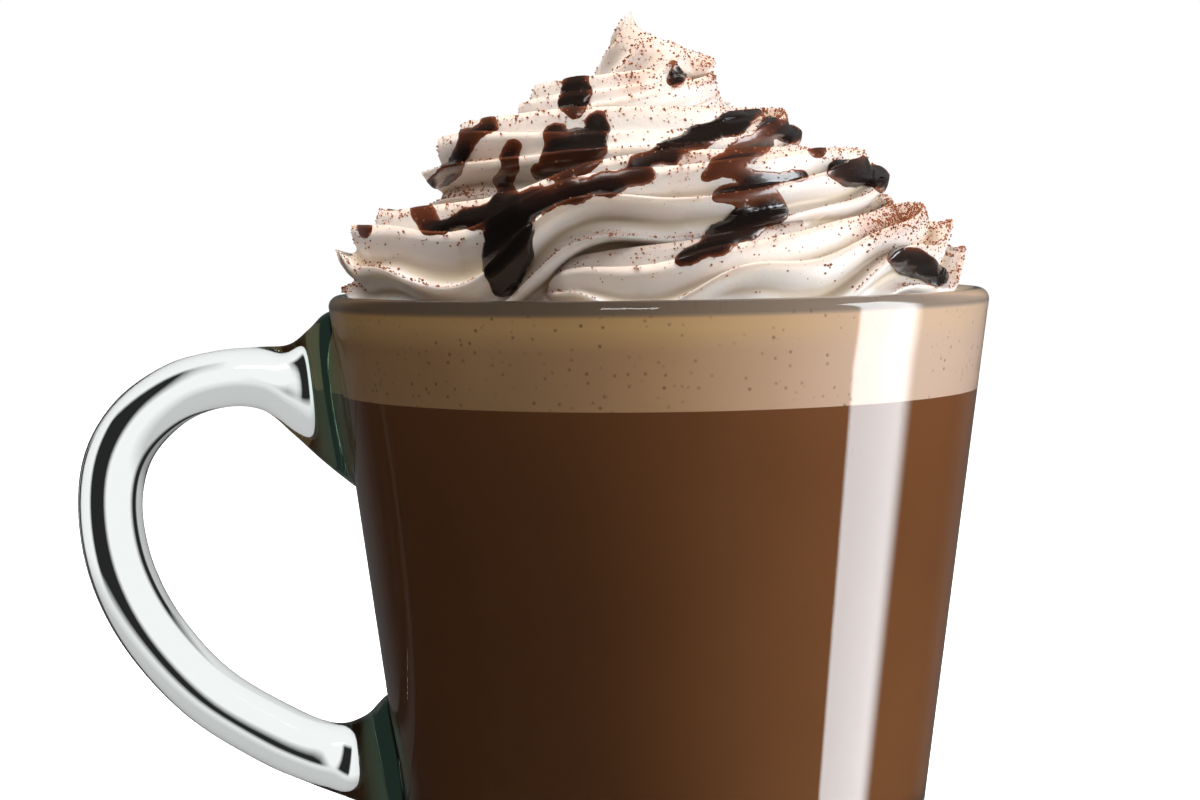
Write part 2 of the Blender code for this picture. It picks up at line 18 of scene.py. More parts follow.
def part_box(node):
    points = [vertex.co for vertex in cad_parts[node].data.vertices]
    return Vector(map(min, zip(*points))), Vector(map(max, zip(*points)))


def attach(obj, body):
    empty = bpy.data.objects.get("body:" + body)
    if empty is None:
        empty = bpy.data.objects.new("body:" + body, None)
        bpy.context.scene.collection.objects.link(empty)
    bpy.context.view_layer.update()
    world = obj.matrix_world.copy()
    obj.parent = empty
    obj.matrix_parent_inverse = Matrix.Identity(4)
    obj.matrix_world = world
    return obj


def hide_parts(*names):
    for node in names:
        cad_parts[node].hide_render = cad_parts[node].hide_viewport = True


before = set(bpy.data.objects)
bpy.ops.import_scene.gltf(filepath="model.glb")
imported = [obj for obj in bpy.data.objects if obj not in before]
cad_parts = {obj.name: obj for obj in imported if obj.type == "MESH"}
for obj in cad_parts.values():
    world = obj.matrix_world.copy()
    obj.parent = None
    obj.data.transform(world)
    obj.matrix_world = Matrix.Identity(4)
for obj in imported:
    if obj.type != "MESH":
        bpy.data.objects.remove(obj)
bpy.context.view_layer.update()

MM = 0.001
scene = bpy.context.scene
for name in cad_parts:
    low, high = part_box(name)
    print(f"{name}: {[round(v / MM, 1) for v in high - low]} mm, from z = {low.z / MM:.1f} mm")

# %% [markdown]
# ## Small helpers
# An operator acts on everything that is selected, and the imported solids arrive selected. So each
# piece starts from a clean selection. A finished piece keeps its object at the origin, with its
# place in its mesh, so that a pattern on Object coordinates stays where it is drawn.

# %% Helpers: select, name, finish
def deselect_all():
    if bpy.context.object and bpy.context.object.mode != "OBJECT":
        bpy.ops.object.mode_set(mode="OBJECT")
    bpy.ops.object.select_all(action="DESELECT")


def make_active(piece):
    deselect_all()
    piece.select_set(True)
    bpy.context.view_layer.objects.active = piece


def triangles(piece):
    return sum(len(p.vertices) - 2 for p in piece.data.polygons)


def turn_faces_out():
    """Turns every face of the mesh being edited outwards, and leaves edit mode."""
    bpy.ops.mesh.select_all(action="SELECT")
    bpy.ops.mesh.normals_make_consistent(inside=False)
    bpy.ops.object.mode_set(mode="OBJECT")


def finish_piece(piece, node=None, crease=None):
    """Smooth up to a crease in degrees, place applied, faces out, on the body, for its solid."""
    make_active(piece)
    if crease:
        bpy.ops.object.shade_smooth_by_angle(angle=math.radians(crease))
    bpy.ops.object.transform_apply(location=True, rotation=True, scale=True)
    bpy.ops.object.mode_set(mode="EDIT")
    turn_faces_out()
    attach(piece, "root")
    if node:
        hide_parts(node)
    print(f"{piece.name}: {triangles(piece)} triangles")


def object_from(name, points, faces):
    mesh = bpy.data.meshes.new(name)
    mesh.from_pydata([tuple(p) for p in points], [], [tuple(f) for f in faces])
    mesh.update()
    piece = bpy.data.objects.new(name, mesh)
    scene.collection.objects.link(piece)
    return piece


def set_material(piece, material):
    piece.data.materials.clear()
    piece.data.materials.append(material)


# %% [markdown]
# ## The sizes of the mug
# The mug is a plain cone with a rounded lip. Its height comes from the frame, and the other sizes
# are the ones it was designed with. Every piece below reads its place from them.

# %% Sizes of the mug
MUG_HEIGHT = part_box("glass_mug")[1].z
RIM_RADIUS = 48 * MM
TAPER = 0.1256                   # loss of outer radius for each unit of depth below the rim
RIM_WALL = 3.2 * MM
LOW_WALL = 4.0 * MM
BASE_THICKNESS = 8.0 * MM
HEEL_RADIUS = 3.0 * MM
FLOOR_CORNER = 4.0 * MM
FOAM_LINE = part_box("milk_foam")[0].z
FOAM_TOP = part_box("milk_foam")[1].z
CREAM_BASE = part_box("whipped_cream")[0].z
IN_WALL = 0.35 * MM              # how far the drink reaches into the glass, so no air gap shows


def outer_radius(z):
    return RIM_RADIUS - TAPER * (MUG_HEIGHT - z)


def inner_radius(z):
    share = (MUG_HEIGHT - z) / (MUG_HEIGHT - BASE_THICKNESS)
    return outer_radius(z) - RIM_WALL - (LOW_WALL - RIM_WALL) * share


print(f"mouth {2 * inner_radius(MUG_HEIGHT) / MM:.1f} mm inside, foot {2 * outer_radius(0) / MM:.1f} mm")

# %% [markdown]
# ## Turning a shape by hand
# A mug can be made by a Screw modifier, by the spin tool, or by extruding a circle ring by ring.
# Extruding is how it is done by hand, and each ring is then moved and scaled to the profile, so
# the wall, the lip and the bore come from one list of radii and heights.

# %% Turn a profile by extruding a ring
def arc(centre_x, centre_z, radius, start, end, steps):
    angles = np.radians(np.linspace(start, end, steps + 1))
    return [(centre_x + radius * math.cos(a), centre_z + radius * math.sin(a)) for a in angles]


def turn_by_extruding(name, profile, sides):
    """A closed turned solid. The profile starts and ends near the axis, and both ends are filled."""
    deselect_all()
    radius, z = profile[0]
    bpy.ops.mesh.primitive_circle_add(vertices=sides, radius=radius, location=(0, 0, z), fill_type="NGON")
    piece = bpy.context.object
    piece.name = piece.data.name = name
    bpy.ops.object.transform_apply(location=True)
    bpy.ops.object.mode_set(mode="EDIT")
    bpy.ops.mesh.select_all(action="SELECT")
    for next_radius, next_z in profile[1:]:
        bpy.ops.mesh.extrude_region_move(TRANSFORM_OT_translate={"value": (0, 0, next_z - z)})
        grow = next_radius / radius
        bpy.ops.transform.resize(value=(grow, grow, 1), center_override=(0, 0, next_z))
        radius, z = next_radius, next_z
    turn_faces_out()
    return piece


# %% [markdown]
# ## The glass mug
# The real mug is pressed glass: a thick, even wall, a fire-polished lip and a heavy foot. It starts
# at the middle of the foot, runs up the outside, over the lip and down the bore to the floor.

# %% The cup
CUP_SIDES = 160
NEAR_AXIS = 0.4 * MM

lip = RIM_WALL / 2
lip_z = MUG_HEIGHT - lip
lip_x = outer_radius(lip_z) - lip
heel_x = outer_radius(HEEL_RADIUS) - HEEL_RADIUS
corner_z = BASE_THICKNESS + FLOOR_CORNER
corner_x = inner_radius(corner_z) - FLOOR_CORNER
cup_profile = [(NEAR_AXIS, 0), (heel_x * 0.5, 0)]
cup_profile += arc(heel_x, HEEL_RADIUS, HEEL_RADIUS, -90, 0, 6)
cup_profile += [(outer_radius(z), z) for z in np.linspace(HEEL_RADIUS, lip_z, 12)[1:-1]]
cup_profile += arc(lip_x, lip_z, lip, 0, 180, 12)
cup_profile += [(inner_radius(z), z) for z in np.linspace(lip_z, corner_z, 12)[1:-1]]
cup_profile += arc(corner_x, corner_z, FLOOR_CORNER, 0, -90, 6)
cup_profile += [(corner_x * 0.5, BASE_THICKNESS), (NEAR_AXIS, BASE_THICKNESS)]
glass_mug = turn_by_extruding("glass_mug_fine", cup_profile, CUP_SIDES)
print(f"cup: {len(cup_profile)} rings of {CUP_SIDES}")

# %% [markdown]
# ## The handle
# The handle is solid glass, nearly round, and it flares where it was pressed on to the wall. A
# curve with a bevel would keep one round section. Rings that are each given their own height and
# width, then bridged pair by pair, follow the flare, so the handle is made from rings.

# %% Where the handle runs
# Outer and inner point in the plane y = 0 (mm from the axis and from the rim) and the half width.
HANDLE_SECTIONS = [
    ((-46.3, -1.8), (-43.0, -29.4), 11.0),
    ((-49.0, -2.9), (-45.2, -28.0), 7.2),
    ((-51.2, -5.0), (-49.6, -24.4), 4.8),
    ((-54.2, -7.2), (-53.6, -20.6), 4.5),
    ((-58.6, -7.5), (-58.0, -16.9), 4.5),
    ((-65.0, -8.0), (-63.4, -16.3), 4.4),
    ((-72.4, -10.0), (-69.0, -18.1), 4.4),
    ((-79.8, -15.1), (-73.8, -22.4), 4.5),
    ((-84.6, -22.8), (-76.0, -27.2), 4.6),
    ((-85.8, -32.4), (-76.4, -33.2), 4.7),
    ((-84.0, -42.8), (-74.8, -40.4), 4.7),
    ((-79.0, -52.8), (-71.0, -47.8), 4.7),
    ((-70.6, -62.3), (-64.4, -55.4), 4.7),
    ((-60.2, -69.2), (-55.8, -60.9), 4.7),
    ((-52.4, -72.8), (-49.0, -63.8), 4.7),
    ((-47.2, -74.9), (-44.4, -62.8), 4.8),
    ((-40.0, -77.6), (-41.4, -60.0), 8.2),
    ((-37.2, -78.2), (-39.2, -58.9), 10.0),
]
HANDLE_SIDES = 48
HANDLE_STEPS = 6


def catmull_rom(a, b, c, d, u):
    return 0.5 * (2 * b + (c - a) * u + (2 * a - 5 * b + 4 * c - d) * u ** 2
                  + (3 * b - a - 3 * c + d) * u ** 3)


def handle_rings():
    rows = np.array([(*outer, *inner, width) for outer, inner, width in HANDLE_SECTIONS])
    rings = []
    for k in range(len(rows) - 1):
        four = [rows[min(max(i, 0), len(rows) - 1)] for i in (k - 1, k, k + 1, k + 2)]
        rings += [catmull_rom(*four, step / HANDLE_STEPS) for step in range(HANDLE_STEPS)]
    return rings + [rows[-1]]


# %% Add the rings, bridge them and close the ends
def make_handle():
    deselect_all()
    rings = handle_rings()
    bpy.ops.mesh.primitive_circle_add(vertices=HANDLE_SIDES, radius=1)
    handle = bpy.context.object
    bpy.ops.object.mode_set(mode="EDIT")
    for _ in rings[1:]:
        bpy.ops.mesh.primitive_circle_add(vertices=HANDLE_SIDES, radius=1)
    shape = bmesh.from_edit_mesh(handle.data)
    shape.verts.ensure_lookup_table()
    for i, (outer_x, outer_z, inner_x, inner_z, half_width) in enumerate(rings):
        outer = Vector((outer_x, 0, outer_z)) * MM
        inner = Vector((inner_x, 0, inner_z)) * MM
        for vert in shape.verts[i * HANDLE_SIDES:(i + 1) * HANDLE_SIDES]:
            along, across = vert.co.x, vert.co.y
            vert.co = (outer + inner) / 2 + (outer - inner) / 2 * along
            vert.co += Vector((0, half_width * MM * across, MUG_HEIGHT))
    bmesh.update_edit_mesh(handle.data)
    bpy.ops.mesh.select_mode(type="EDGE")
    for i in range(len(rings) - 1):
        bpy.ops.mesh.select_all(action="DESELECT")
        shape = bmesh.from_edit_mesh(handle.data)
        shape.verts.ensure_lookup_table()
        pair = {v.index for v in shape.verts[i * HANDLE_SIDES:(i + 2) * HANDLE_SIDES]}
        for edge in shape.edges:
            first, second = (vert.index for vert in edge.verts)
            in_one_ring = first // HANDLE_SIDES == second // HANDLE_SIDES
            if in_one_ring and {first, second} <= pair:
                edge.select_set(True)
        bpy.ops.mesh.bridge_edge_loops()
    bpy.ops.mesh.select_all(action="DESELECT")
    shape = bmesh.from_edit_mesh(handle.data)
    for edge in shape.edges:
        if edge.is_boundary:
            edge.select_set(True)
    bpy.ops.mesh.fill_holes(sides=0)
    turn_faces_out()
    return handle


# %% Join the handle to the cup
def boolean(piece, operation, others, solver):
    """Joins or cuts a piece with other objects, held together by a collection, and removes them."""
    together = bpy.data.collections.new("others")
    for other in others:
        together.objects.link(other)
    make_active(piece)
    change = piece.modifiers.new("change", "BOOLEAN")
    change.operation = operation
    change.solver = solver
    change.operand_type = "COLLECTION"
    change.collection = together
    bpy.ops.object.modifier_apply(modifier=change.name)
    for other in others:
        bpy.data.objects.remove(other)
    bpy.data.collections.remove(together)


boolean(glass_mug, "UNION", [make_handle()], "EXACT")
finish_piece(glass_mug, "glass_mug", crease=32)

# %% [markdown]
# ## The drink and the foam
# Glass bends light, so a thin film of air between the drink and the wall would show as a silver
# skin. Both layers therefore reach a little way into the wall. The foam's upper edge climbs the
# glass a little, as foam does.

# %% The brown drink
ROUND = 128
drink_top = FOAM_LINE - 0.15 * MM        # the middle of the gap between the two solids
side_z = np.linspace(corner_z, drink_top, 10)
drink_profile = [(NEAR_AXIS, BASE_THICKNESS - IN_WALL), (corner_x * 0.6, BASE_THICKNESS - IN_WALL)]
drink_profile += arc(corner_x, corner_z, FLOOR_CORNER + IN_WALL, -90, 0, 8)
drink_profile += [(inner_radius(z) + IN_WALL, z) for z in side_z[1:]]
drink_profile += [(NEAR_AXIS, side_z[-1])]
mocha = turn_by_extruding("mocha_drink", drink_profile, ROUND)
finish_piece(mocha, "mocha", crease=40)

# %% The milk foam
FOAM_CLIMB = 0.7 * MM
foam_z = np.linspace(drink_top, FOAM_TOP + FOAM_CLIMB, 6)
foam_profile = [(NEAR_AXIS, foam_z[0])]
foam_profile += [(inner_radius(z) + IN_WALL, z) for z in foam_z]
foam_profile += [(inner_radius(FOAM_TOP) - 0.5 * MM, FOAM_TOP + FOAM_CLIMB * 0.6)]
foam_profile += [(inner_radius(FOAM_TOP) - 2.0 * MM, FOAM_TOP), (NEAR_AXIS, FOAM_TOP)]
foam = turn_by_extruding("milk_foam_layer", foam_profile, ROUND)
finish_piece(foam, "milk_foam", crease=40)

# %% [markdown]
# ## The whipped cream
# Real cream is piped through a star nozzle: one fluted rope, laid in a rising spiral. Its crests
# are sharp, the grooves between them are round, and the slack in the rope throws the crests into
# waves. A curve with a star-shaped bevel would give an even rope. Here the star changes along the
# way, so the rope's surface is worked out as rings of points from the same keys as its solid.

# %% Where the rope runs
CREAM_AXIS_X = -0.9 * MM
CREAM_START_ANGLE = math.radians(-105)
# turns from the start; centre's distance from the axis; height above the rim; radius (mm)
ROPE_KEYS = np.array([
    (0.00, 35.0, -0.6, 6.4),
    (0.05, 37.0, -0.4, 7.6),
    (0.18, 37.2, 2.4, 8.7),
    (0.25, 36.6, 3.4, 8.9),
    (0.50, 36.2, 3.4, 9.0),
    (0.75, 37.2, 3.4, 9.0),
    (0.90, 35.6, 4.0, 8.8),
    (0.95, 33.6, 5.4, 8.6),
    (1.02, 31.2, 10.2, 8.0),
    (1.12, 29.6, 11.6, 8.0),
    (1.25, 27.8, 12.4, 7.8),
    (1.50, 26.8, 14.4, 8.0),
    (1.75, 25.6, 16.4, 8.0),
    (1.92, 22.8, 17.4, 7.8),
    (2.05, 19.4, 18.2, 7.4),
    (2.25, 16.6, 19.4, 6.9),
    (2.50, 15.6, 21.6, 6.6),
    (2.75, 15.0, 23.4, 6.3),
    (2.95, 11.8, 24.8, 6.0),
    (3.10, 8.8, 26.0, 5.6),
    (3.30, 6.4, 27.2, 4.8),
    (3.42, 5.4, 27.8, 3.4),
    (3.52, 4.8, 28.0, 1.2),
])
FLUTES = 10
# turns from the start and the depth of the grooves there, as a share of the rope's radius
FLUTE_DEPTHS = np.array([(0.0, 0.31), (3.2, 0.31), (3.55, 0.17), (3.8, 0.12)])
# turns from the start and how far the flutes have wound round the rope there (degrees): they wind
# where the rope climbs at the front right, and run straight elsewhere
FLUTE_WINDING = np.array([(0.0, -4.0), (0.06, 4.0), (0.26, 68.0), (0.38, 72.0), (0.98, 74.0), (1.10, 84.0),
                          (1.30, 140.0), (1.42, 144.0), (1.98, 146.0), (2.10, 158.0), (2.30, 212.0),
                          (2.42, 216.0), (2.95, 218.0), (3.30, 280.0), (3.80, 300.0)])
# turns from the start and every second crest: as sharp as the others at 1, gone at 0
SECOND_CRESTS = np.array([(0.0, 1.0), (1.2, 1.0), (1.88, 1.0), (2.0, 0.15), (2.12, 0.15), (2.28, 0.8),
                          (2.8, 0.6), (3.2, 0.1), (3.8, 0.0)])
# turns from the start and how far the outer crests sag there (mm)
CREST_SAG = np.array([(0.0, 0.0), (0.86, 0.0), (0.925, -5.0), (0.985, 1.5), (1.05, 0.0), (3.8, 0.0)])
OUTER_CRESTS = math.radians(20)  # waves and sag are strongest this far below the rope's outer side
RUFFLE_LENGTH = 21 * MM
RUFFLE_START = 6 * MM
RUFFLE_DRIFT = 23 * MM           # the length of the waves changes slowly over this run
# turns from the start and the height of the waves along the crests there (mm)
RUFFLE_HEIGHTS = np.array([(0.0, 1.4), (0.2, 1.6), (0.86, 1.3), (0.95, 0.4), (1.2, 0.3), (1.5, 0.6),
                           (1.9, 0.2), (3.8, 0.0)])


def read_keys(keys, at):
    """Keyed rows read at many places at once, smooth through every key (cubic Hermite)."""
    at = np.clip(np.atleast_1d(at).astype(float), keys[0, 0], keys[-1, 0])
    k = np.clip(np.searchsorted(keys[:, 0], at, side="right") - 1, 0, len(keys) - 2)

    def slope(i):
        lo = np.maximum(i - 1, 0)
        hi = np.minimum(i + 1, len(keys) - 1)
        return (keys[hi, 1:] - keys[lo, 1:]) / (keys[hi, 0] - keys[lo, 0])[:, None]

    span = (keys[k + 1, 0] - keys[k, 0])[:, None]
    u = (at - keys[k, 0])[:, None] / span
    return ((2 * u ** 3 - 3 * u ** 2 + 1) * keys[k, 1:] + (u ** 3 - 2 * u ** 2 + u) * span * slope(k)
            + (3 * u ** 2 - 2 * u ** 3) * keys[k + 1, 1:] + (u ** 3 - u ** 2) * span * slope(k + 1))


def rope_centre(turns):
    distance, height, radius = read_keys(ROPE_KEYS, turns).T * MM
    angle = CREAM_START_ANGLE + 2 * math.pi * np.atleast_1d(turns)
    centre = np.stack([CREAM_AXIS_X + distance * np.cos(angle), distance * np.sin(angle),
                       MUG_HEIGHT + height], -1)
    return centre, radius, angle


# %% [markdown]
# ### The star section
# A star nozzle leaves ten crests. Between them the rope's surface is a round groove, which the
# absolute value of a sine draws, with a sharp crest where it turns back. The crests aren't quite
# even, they lean, and on the rope's outer side they rise and fall where it was laid down with
# slack. Sculpting would do this too, but a rule can be read and changed.

# %% The star section, ring after ring
POINTS_PER_FLUTE = 10
RING_SPACING = 0.9 * MM
CREST_LEAN = 0.16                # radians, each crest is dragged a little upwards
CREST_SWAY = 0.05                # radians, and sways this much
CREST_UNEVEN = 0.035             # how much a crest's height varies, as a share of the rope's radius
rng = np.random.default_rng(11)
crest_phase = rng.uniform(0, 2 * math.pi, (FLUTES, 3))


def unit(v):
    return v / np.linalg.norm(v, axis=-1, keepdims=True)


def rope_rings(turns, run, scale):
    """Rings of points for arrays of places along the rope: shape (places, points round, 3)."""
    centre, radius, angle = rope_centre(turns)
    ahead = unit(rope_centre(turns + 0.01)[0] - rope_centre(turns - 0.01)[0])
    outward = np.stack([np.cos(angle), np.sin(angle), 0 * angle], -1)
    outward = unit(outward - ahead * (outward * ahead).sum(-1, keepdims=True))
    up = np.cross(outward, ahead)
    count = FLUTES * POINTS_PER_FLUTE
    round_rope = 2 * math.pi * np.arange(count) / count
    second = np.clip(read_keys(SECOND_CRESTS, turns), 0, 1)
    wide_groove = np.abs(np.sin(FLUTES * round_rope / 4))
    narrow_groove = np.abs(np.sin(FLUTES * round_rope / 2))
    groove = wide_groove + (narrow_groove - wide_groove) * second
    flute = np.round(round_rope * FLUTES / (2 * math.pi)).astype(int) % FLUTES
    phase = crest_phase[flute]
    s = run[:, None] / MM
    uneven = 0.5 * np.sin(s / 9.0 + phase[:, 0]) + 0.5 * np.sin(s / 4.3 + phase[:, 1])
    crest = (1 - narrow_groove) ** 2
    relief = CREST_UNEVEN * uneven * crest - read_keys(FLUTE_DEPTHS, turns) * groove
    reach = (radius * scale)[:, None] * (1 + relief)
    phi = np.radians(read_keys(FLUTE_WINDING, turns)) + round_rope
    low_side = np.maximum(0, np.cos(phi + OUTER_CRESTS)) ** 2
    waves = 2 * math.pi * (run + RUFFLE_START) / RUFFLE_LENGTH + 0.6 * np.sin(run / RUFFLE_DRIFT)
    height = read_keys(RUFFLE_HEIGHTS, turns) * np.sin(waves)[:, None] + read_keys(CREST_SAG, turns)
    lift = low_side * height * MM
    phi = phi + crest * (CREST_LEAN + CREST_SWAY * np.sin(s / 6.1 + phase[:, 2])) * np.cos(phi)
    return (centre[:, None] + outward[:, None] * (reach * np.cos(phi))[..., None]
            + up[:, None] * (reach * np.sin(phi) + lift)[..., None])


# %% [markdown]
# ### Lengths of rope
# The rope touches itself turn upon turn, and a Boolean can't join a mesh with itself. So it is cut
# into closed lengths of less than half a turn, which overlap a little. The ends that lie inside
# the next length are a touch thinner, so that no two surfaces fall together.

# %% Lengths of rope, each a closed piece
CHUNK_TURNS = 0.41
PLUG_SCALE = 0.99
# the rounded start: turns from the start of the rope, and the share of its radius there
NOSE = [(-0.024, 0.12), (-0.0225, 0.3), (-0.019, 0.55), (-0.014, 0.76), (-0.007, 0.93)]


def loft(name, rings):
    """A closed mesh through rings of points, closed at each end by a fan about its middle."""
    count, around = rings.shape[:2]
    points = rings.reshape(-1, 3)
    i, j = np.meshgrid(np.arange(count - 1), np.arange(around), indexing="ij")
    k = (j + 1) % around
    quads = np.stack([i * around + j, (i + 1) * around + j, (i + 1) * around + k, i * around + k], -1)
    faces = [tuple(q) for q in quads.reshape(-1, 4)]
    first, last = len(points), len(points) + 1
    points = np.concatenate([points, rings[:1].mean(1), rings[-1:].mean(1)])
    base = (count - 1) * around
    for j in range(around):
        k = (j + 1) % around
        faces.append((j, k, first))
        faces.append((base + k, base + j, last))
    return object_from(name, points, faces)


def rope_places():
    """Even steps along the rope: turns from the start and length run."""
    fine = np.linspace(0, ROPE_KEYS[-1, 0], 6000)
    steps = np.linalg.norm(np.diff(rope_centre(fine)[0], axis=0), axis=1)
    length = np.concatenate([[0], np.cumsum(steps)])
    run = np.arange(0, length[-1], RING_SPACING)
    return np.append(np.interp(run, length, fine), fine[-1]), np.append(run, length[-1])


def make_rope():
    turns, run = rope_places()
    lengths = []
    start = 0
    while start < len(turns) - 1:
        end = min(np.searchsorted(turns, turns[start] + CHUNK_TURNS), len(turns) - 1)
        t, s = turns[start:end + 1], run[start:end + 1]
        scale = np.ones(len(t))
        if start:
            scale[0] = PLUG_SCALE
        else:
            t = np.concatenate([[n[0] for n in NOSE], t])
            s = np.concatenate([np.zeros(len(NOSE)), s])
            scale = np.concatenate([[n[1] for n in NOSE], scale])
        if end < len(turns) - 1:
            scale[-1] = PLUG_SCALE
        lengths.append(loft(f"rope_{len(lengths)}", rope_rings(t, s, scale)))
        if end == len(turns) - 1:
            break
        start = end - 1
    print(f"rope: {run[-1] / MM:.0f} mm long, {len(turns)} rings in {len(lengths)} lengths")
    return lengths


# %% [markdown]
# ## The tip
# Where the nozzle stops and lifts, the cream is drawn into a pointed dollop. It isn't a rope any
# more, so its rings lie flat, one above another, and their crests wind on round it.

# %% The dollop's rings
# Height above the rim, the middle's place across and in depth, radius, how much the ring rises for
# each unit to the right, and how far its crests have wound (millimetres and degrees).
DOLLOP_KEYS = np.array([
    (23.0, 0.8, 0.6, 5.6, 0.10, 0),
    (27.4, 0.2, 0.4, 7.4, 0.20, 20),
    (29.6, 0.0, 0.2, 9.2, 0.22, 32),
    (31.2, -0.2, 0.0, 9.3, 0.18, 45),
    (33.4, -0.5, 0.0, 7.6, 0.10, 65),
    (35.0, -1.4, 0.0, 5.9, 0.05, 85),
    (36.2, -2.6, 0.0, 3.9, 0.0, 105),
    (37.6, -3.6, 0.0, 2.2, 0.0, 125),
    (39.0, -3.8, 0.0, 1.05, 0.0, 140),
    (40.3, -3.3, 0.0, 0.2, 0.0, 150),
])
DOLLOP_CRESTS = 6
DOLLOP_DEPTH = 0.2               # of the grooves, as a share of the radius


def make_dollop():
    low, high = DOLLOP_KEYS[0, 0], DOLLOP_KEYS[-1, 0]
    height = np.linspace(low, high, 56)
    across, deep, radius, tilt, winding = read_keys(DOLLOP_KEYS, height).T
    around = np.linspace(0, 2 * math.pi, DOLLOP_CRESTS * 12, endpoint=False)
    groove = np.abs(np.sin(DOLLOP_CRESTS * around / 2))
    reach = radius[:, None] * (1 - DOLLOP_DEPTH * groove)
    turn = np.radians(winding)[:, None] - around
    x = reach * np.cos(turn)
    rings = np.stack([across[:, None] + x, deep[:, None] + reach * np.sin(turn),
                      height[:, None] + tilt[:, None] * x], -1) * MM
    return loft("dollop", rings + (0, 0, MUG_HEIGHT))


# %% [markdown]
# ## One body of cream
# The lengths of rope cross one another, and a turned core closes the middle. One Boolean union
# makes a single surface of them, and a second Boolean takes away what would be inside the glass
# or the foam, so that the cream sits in the mouth of the mug as real cream does.

# %% The core, the union and the cut
CORE_PROFILE = [(0, 31.0), (4.5, 29.0), (11.5, 24.6), (18.5, 20.0), (23.5, 15.5), (30.5, 9.0),
                (36.0, 2.0), (38.0, -4.0)]   # radius and height above the rim (mm)
CORE_SIDES = 64
GAP = 0.3 * MM                   # clear of the glass
LIP_CLEARANCE = 0.7 * MM         # the cut starts this far out from the mouth
MERGE_DISTANCE = 0.004 * MM


def keep_largest_shell(piece):
    """Sealed hollows and loose scraps go: only the shell with the most faces stays."""
    shape = bmesh.new()
    shape.from_mesh(piece.data)
    bmesh.ops.remove_doubles(shape, verts=shape.verts, dist=MERGE_DISTANCE)
    todo = set(shape.faces)
    shells = []
    while todo:
        front = [todo.pop()]
        shell = []
        while front:
            face = front.pop()
            shell.append(face)
            for edge in face.edges:
                if len(edge.link_faces) == 2:
                    for other in edge.link_faces:
                        if other in todo:
                            todo.remove(other)
                            front.append(other)
        shells.append(shell)
    shells.sort(key=len)
    for shell in shells[:-1]:
        bmesh.ops.delete(shape, geom=shell, context="FACES")
    loose = [vert for vert in shape.verts if not vert.link_faces]
    bmesh.ops.delete(shape, geom=loose, context="VERTS")
    shape.to_mesh(piece.data)
    shape.free()


def make_cream():
    core = [(max(x * MM, NEAR_AXIS), MUG_HEIGHT + z * MM) for x, z in CORE_PROFILE[::-1]]
    cream = turn_by_extruding("whipped_cream_swirl", [(NEAR_AXIS, core[0][1])] + core, CORE_SIDES)
    cream.data.transform(Matrix.Translation((CREAM_AXIS_X, 0, 0)))
    boolean(cream, "UNION", make_rope() + [make_dollop()], "MANIFOLD")
    wide = RIM_RADIUS + 10 * MM
    clear = [(NEAR_AXIS, FOAM_LINE), (wide, FOAM_LINE), (wide, MUG_HEIGHT + GAP),
             (inner_radius(MUG_HEIGHT) + LIP_CLEARANCE, MUG_HEIGHT + GAP),
             (inner_radius(lip_z) - GAP, lip_z), (NEAR_AXIS, CREAM_BASE)]
    boolean(cream, "DIFFERENCE", [turn_by_extruding("clearance", clear, ROUND)], "MANIFOLD")
    keep_largest_shell(cream)
    return cream


cream = make_cream()
print(f"cream after the Booleans: {triangles(cream)} triangles")

# %% [markdown]
# ## The surface of the cream, as arrays
# The syrup and the powder lie on the cream, so they need its surface: a tree to shoot rays at, and
# arrays of its points and normals. They also need to know what is a crest and what is a groove. A
# smoothed copy of the surface tells: it lies above a groove and below a crest.

# %% Read the cream's surface
GROOVE_SCALE = 10                # rounds of smoothing, about 1.5 mm


def read_all(items, name, width, kind=float):
    """One property of all points, edges or faces of a mesh, as rows of an array."""
    values = np.empty(len(items) * width, kind)
    items.foreach_get(name, values)
    return values.reshape(-1, width)


def smooth(values, edges, times):
    """Each value moves half way to the mean of its neighbours, again and again."""
    for _ in range(times):
        total = np.zeros_like(values)
        count = np.zeros(len(values))
        for a, b in ((0, 1), (1, 0)):
            np.add.at(total, edges[:, a], values[edges[:, b]])
            np.add.at(count, edges[:, a], 1)
        count = np.maximum(count, 1)
        values = values * 0.5 + total / (count[:, None] if values.ndim == 2 else count) * 0.5
    return values


def store_value(piece, name, values):
    layer = piece.data.attributes.new(name, "FLOAT", "POINT")
    layer.data.foreach_set("value", np.ascontiguousarray(values, dtype=np.float32))


make_active(cream)
bpy.ops.object.mode_set(mode="EDIT")
bpy.ops.mesh.select_all(action="SELECT")
bpy.ops.mesh.quads_convert_to_tris(quad_method="SHORTEST_DIAGONAL")
turn_faces_out()
cream_points = read_all(cream.data.vertices, "co", 3)
cream_normals = read_all(cream.data.vertices, "normal", 3)
cream_edges = read_all(cream.data.edges, "vertices", 2, int)
cream_faces = read_all(cream.data.polygons, "vertices", 3, int)
cream_tree = BVHTree.FromPolygons(cream_points.tolist(), cream_faces.tolist())
fill_needed = ((smooth(cream_points, cream_edges, GROOVE_SCALE) - cream_points) * cream_normals).sum(-1)
print(f"cream surface: {len(cream_points)} points, grooves up to {fill_needed.max() / MM:.1f} mm")

# %% [markdown]
# ## Chocolate syrup
# Syrup is poured from a bottle in strands. It fills the grooves, where it is thick and nearly
# black, and runs thin over the crests, where it is red-brown. A tube along each strand would sit on
# the cream like a wire. Instead the piece of cream under each strand is copied and cut finer, its
# edge is cut along the strand's outline, and it is pushed out by the syrup's own thickness.

# %% Where the syrup was poured
# The near strands are drawn as the camera sees them, so this is also where it stands.
POUR_EYE = Vector((-8.6 * MM, -300 * MM, MUG_HEIGHT + 8.2 * MM))
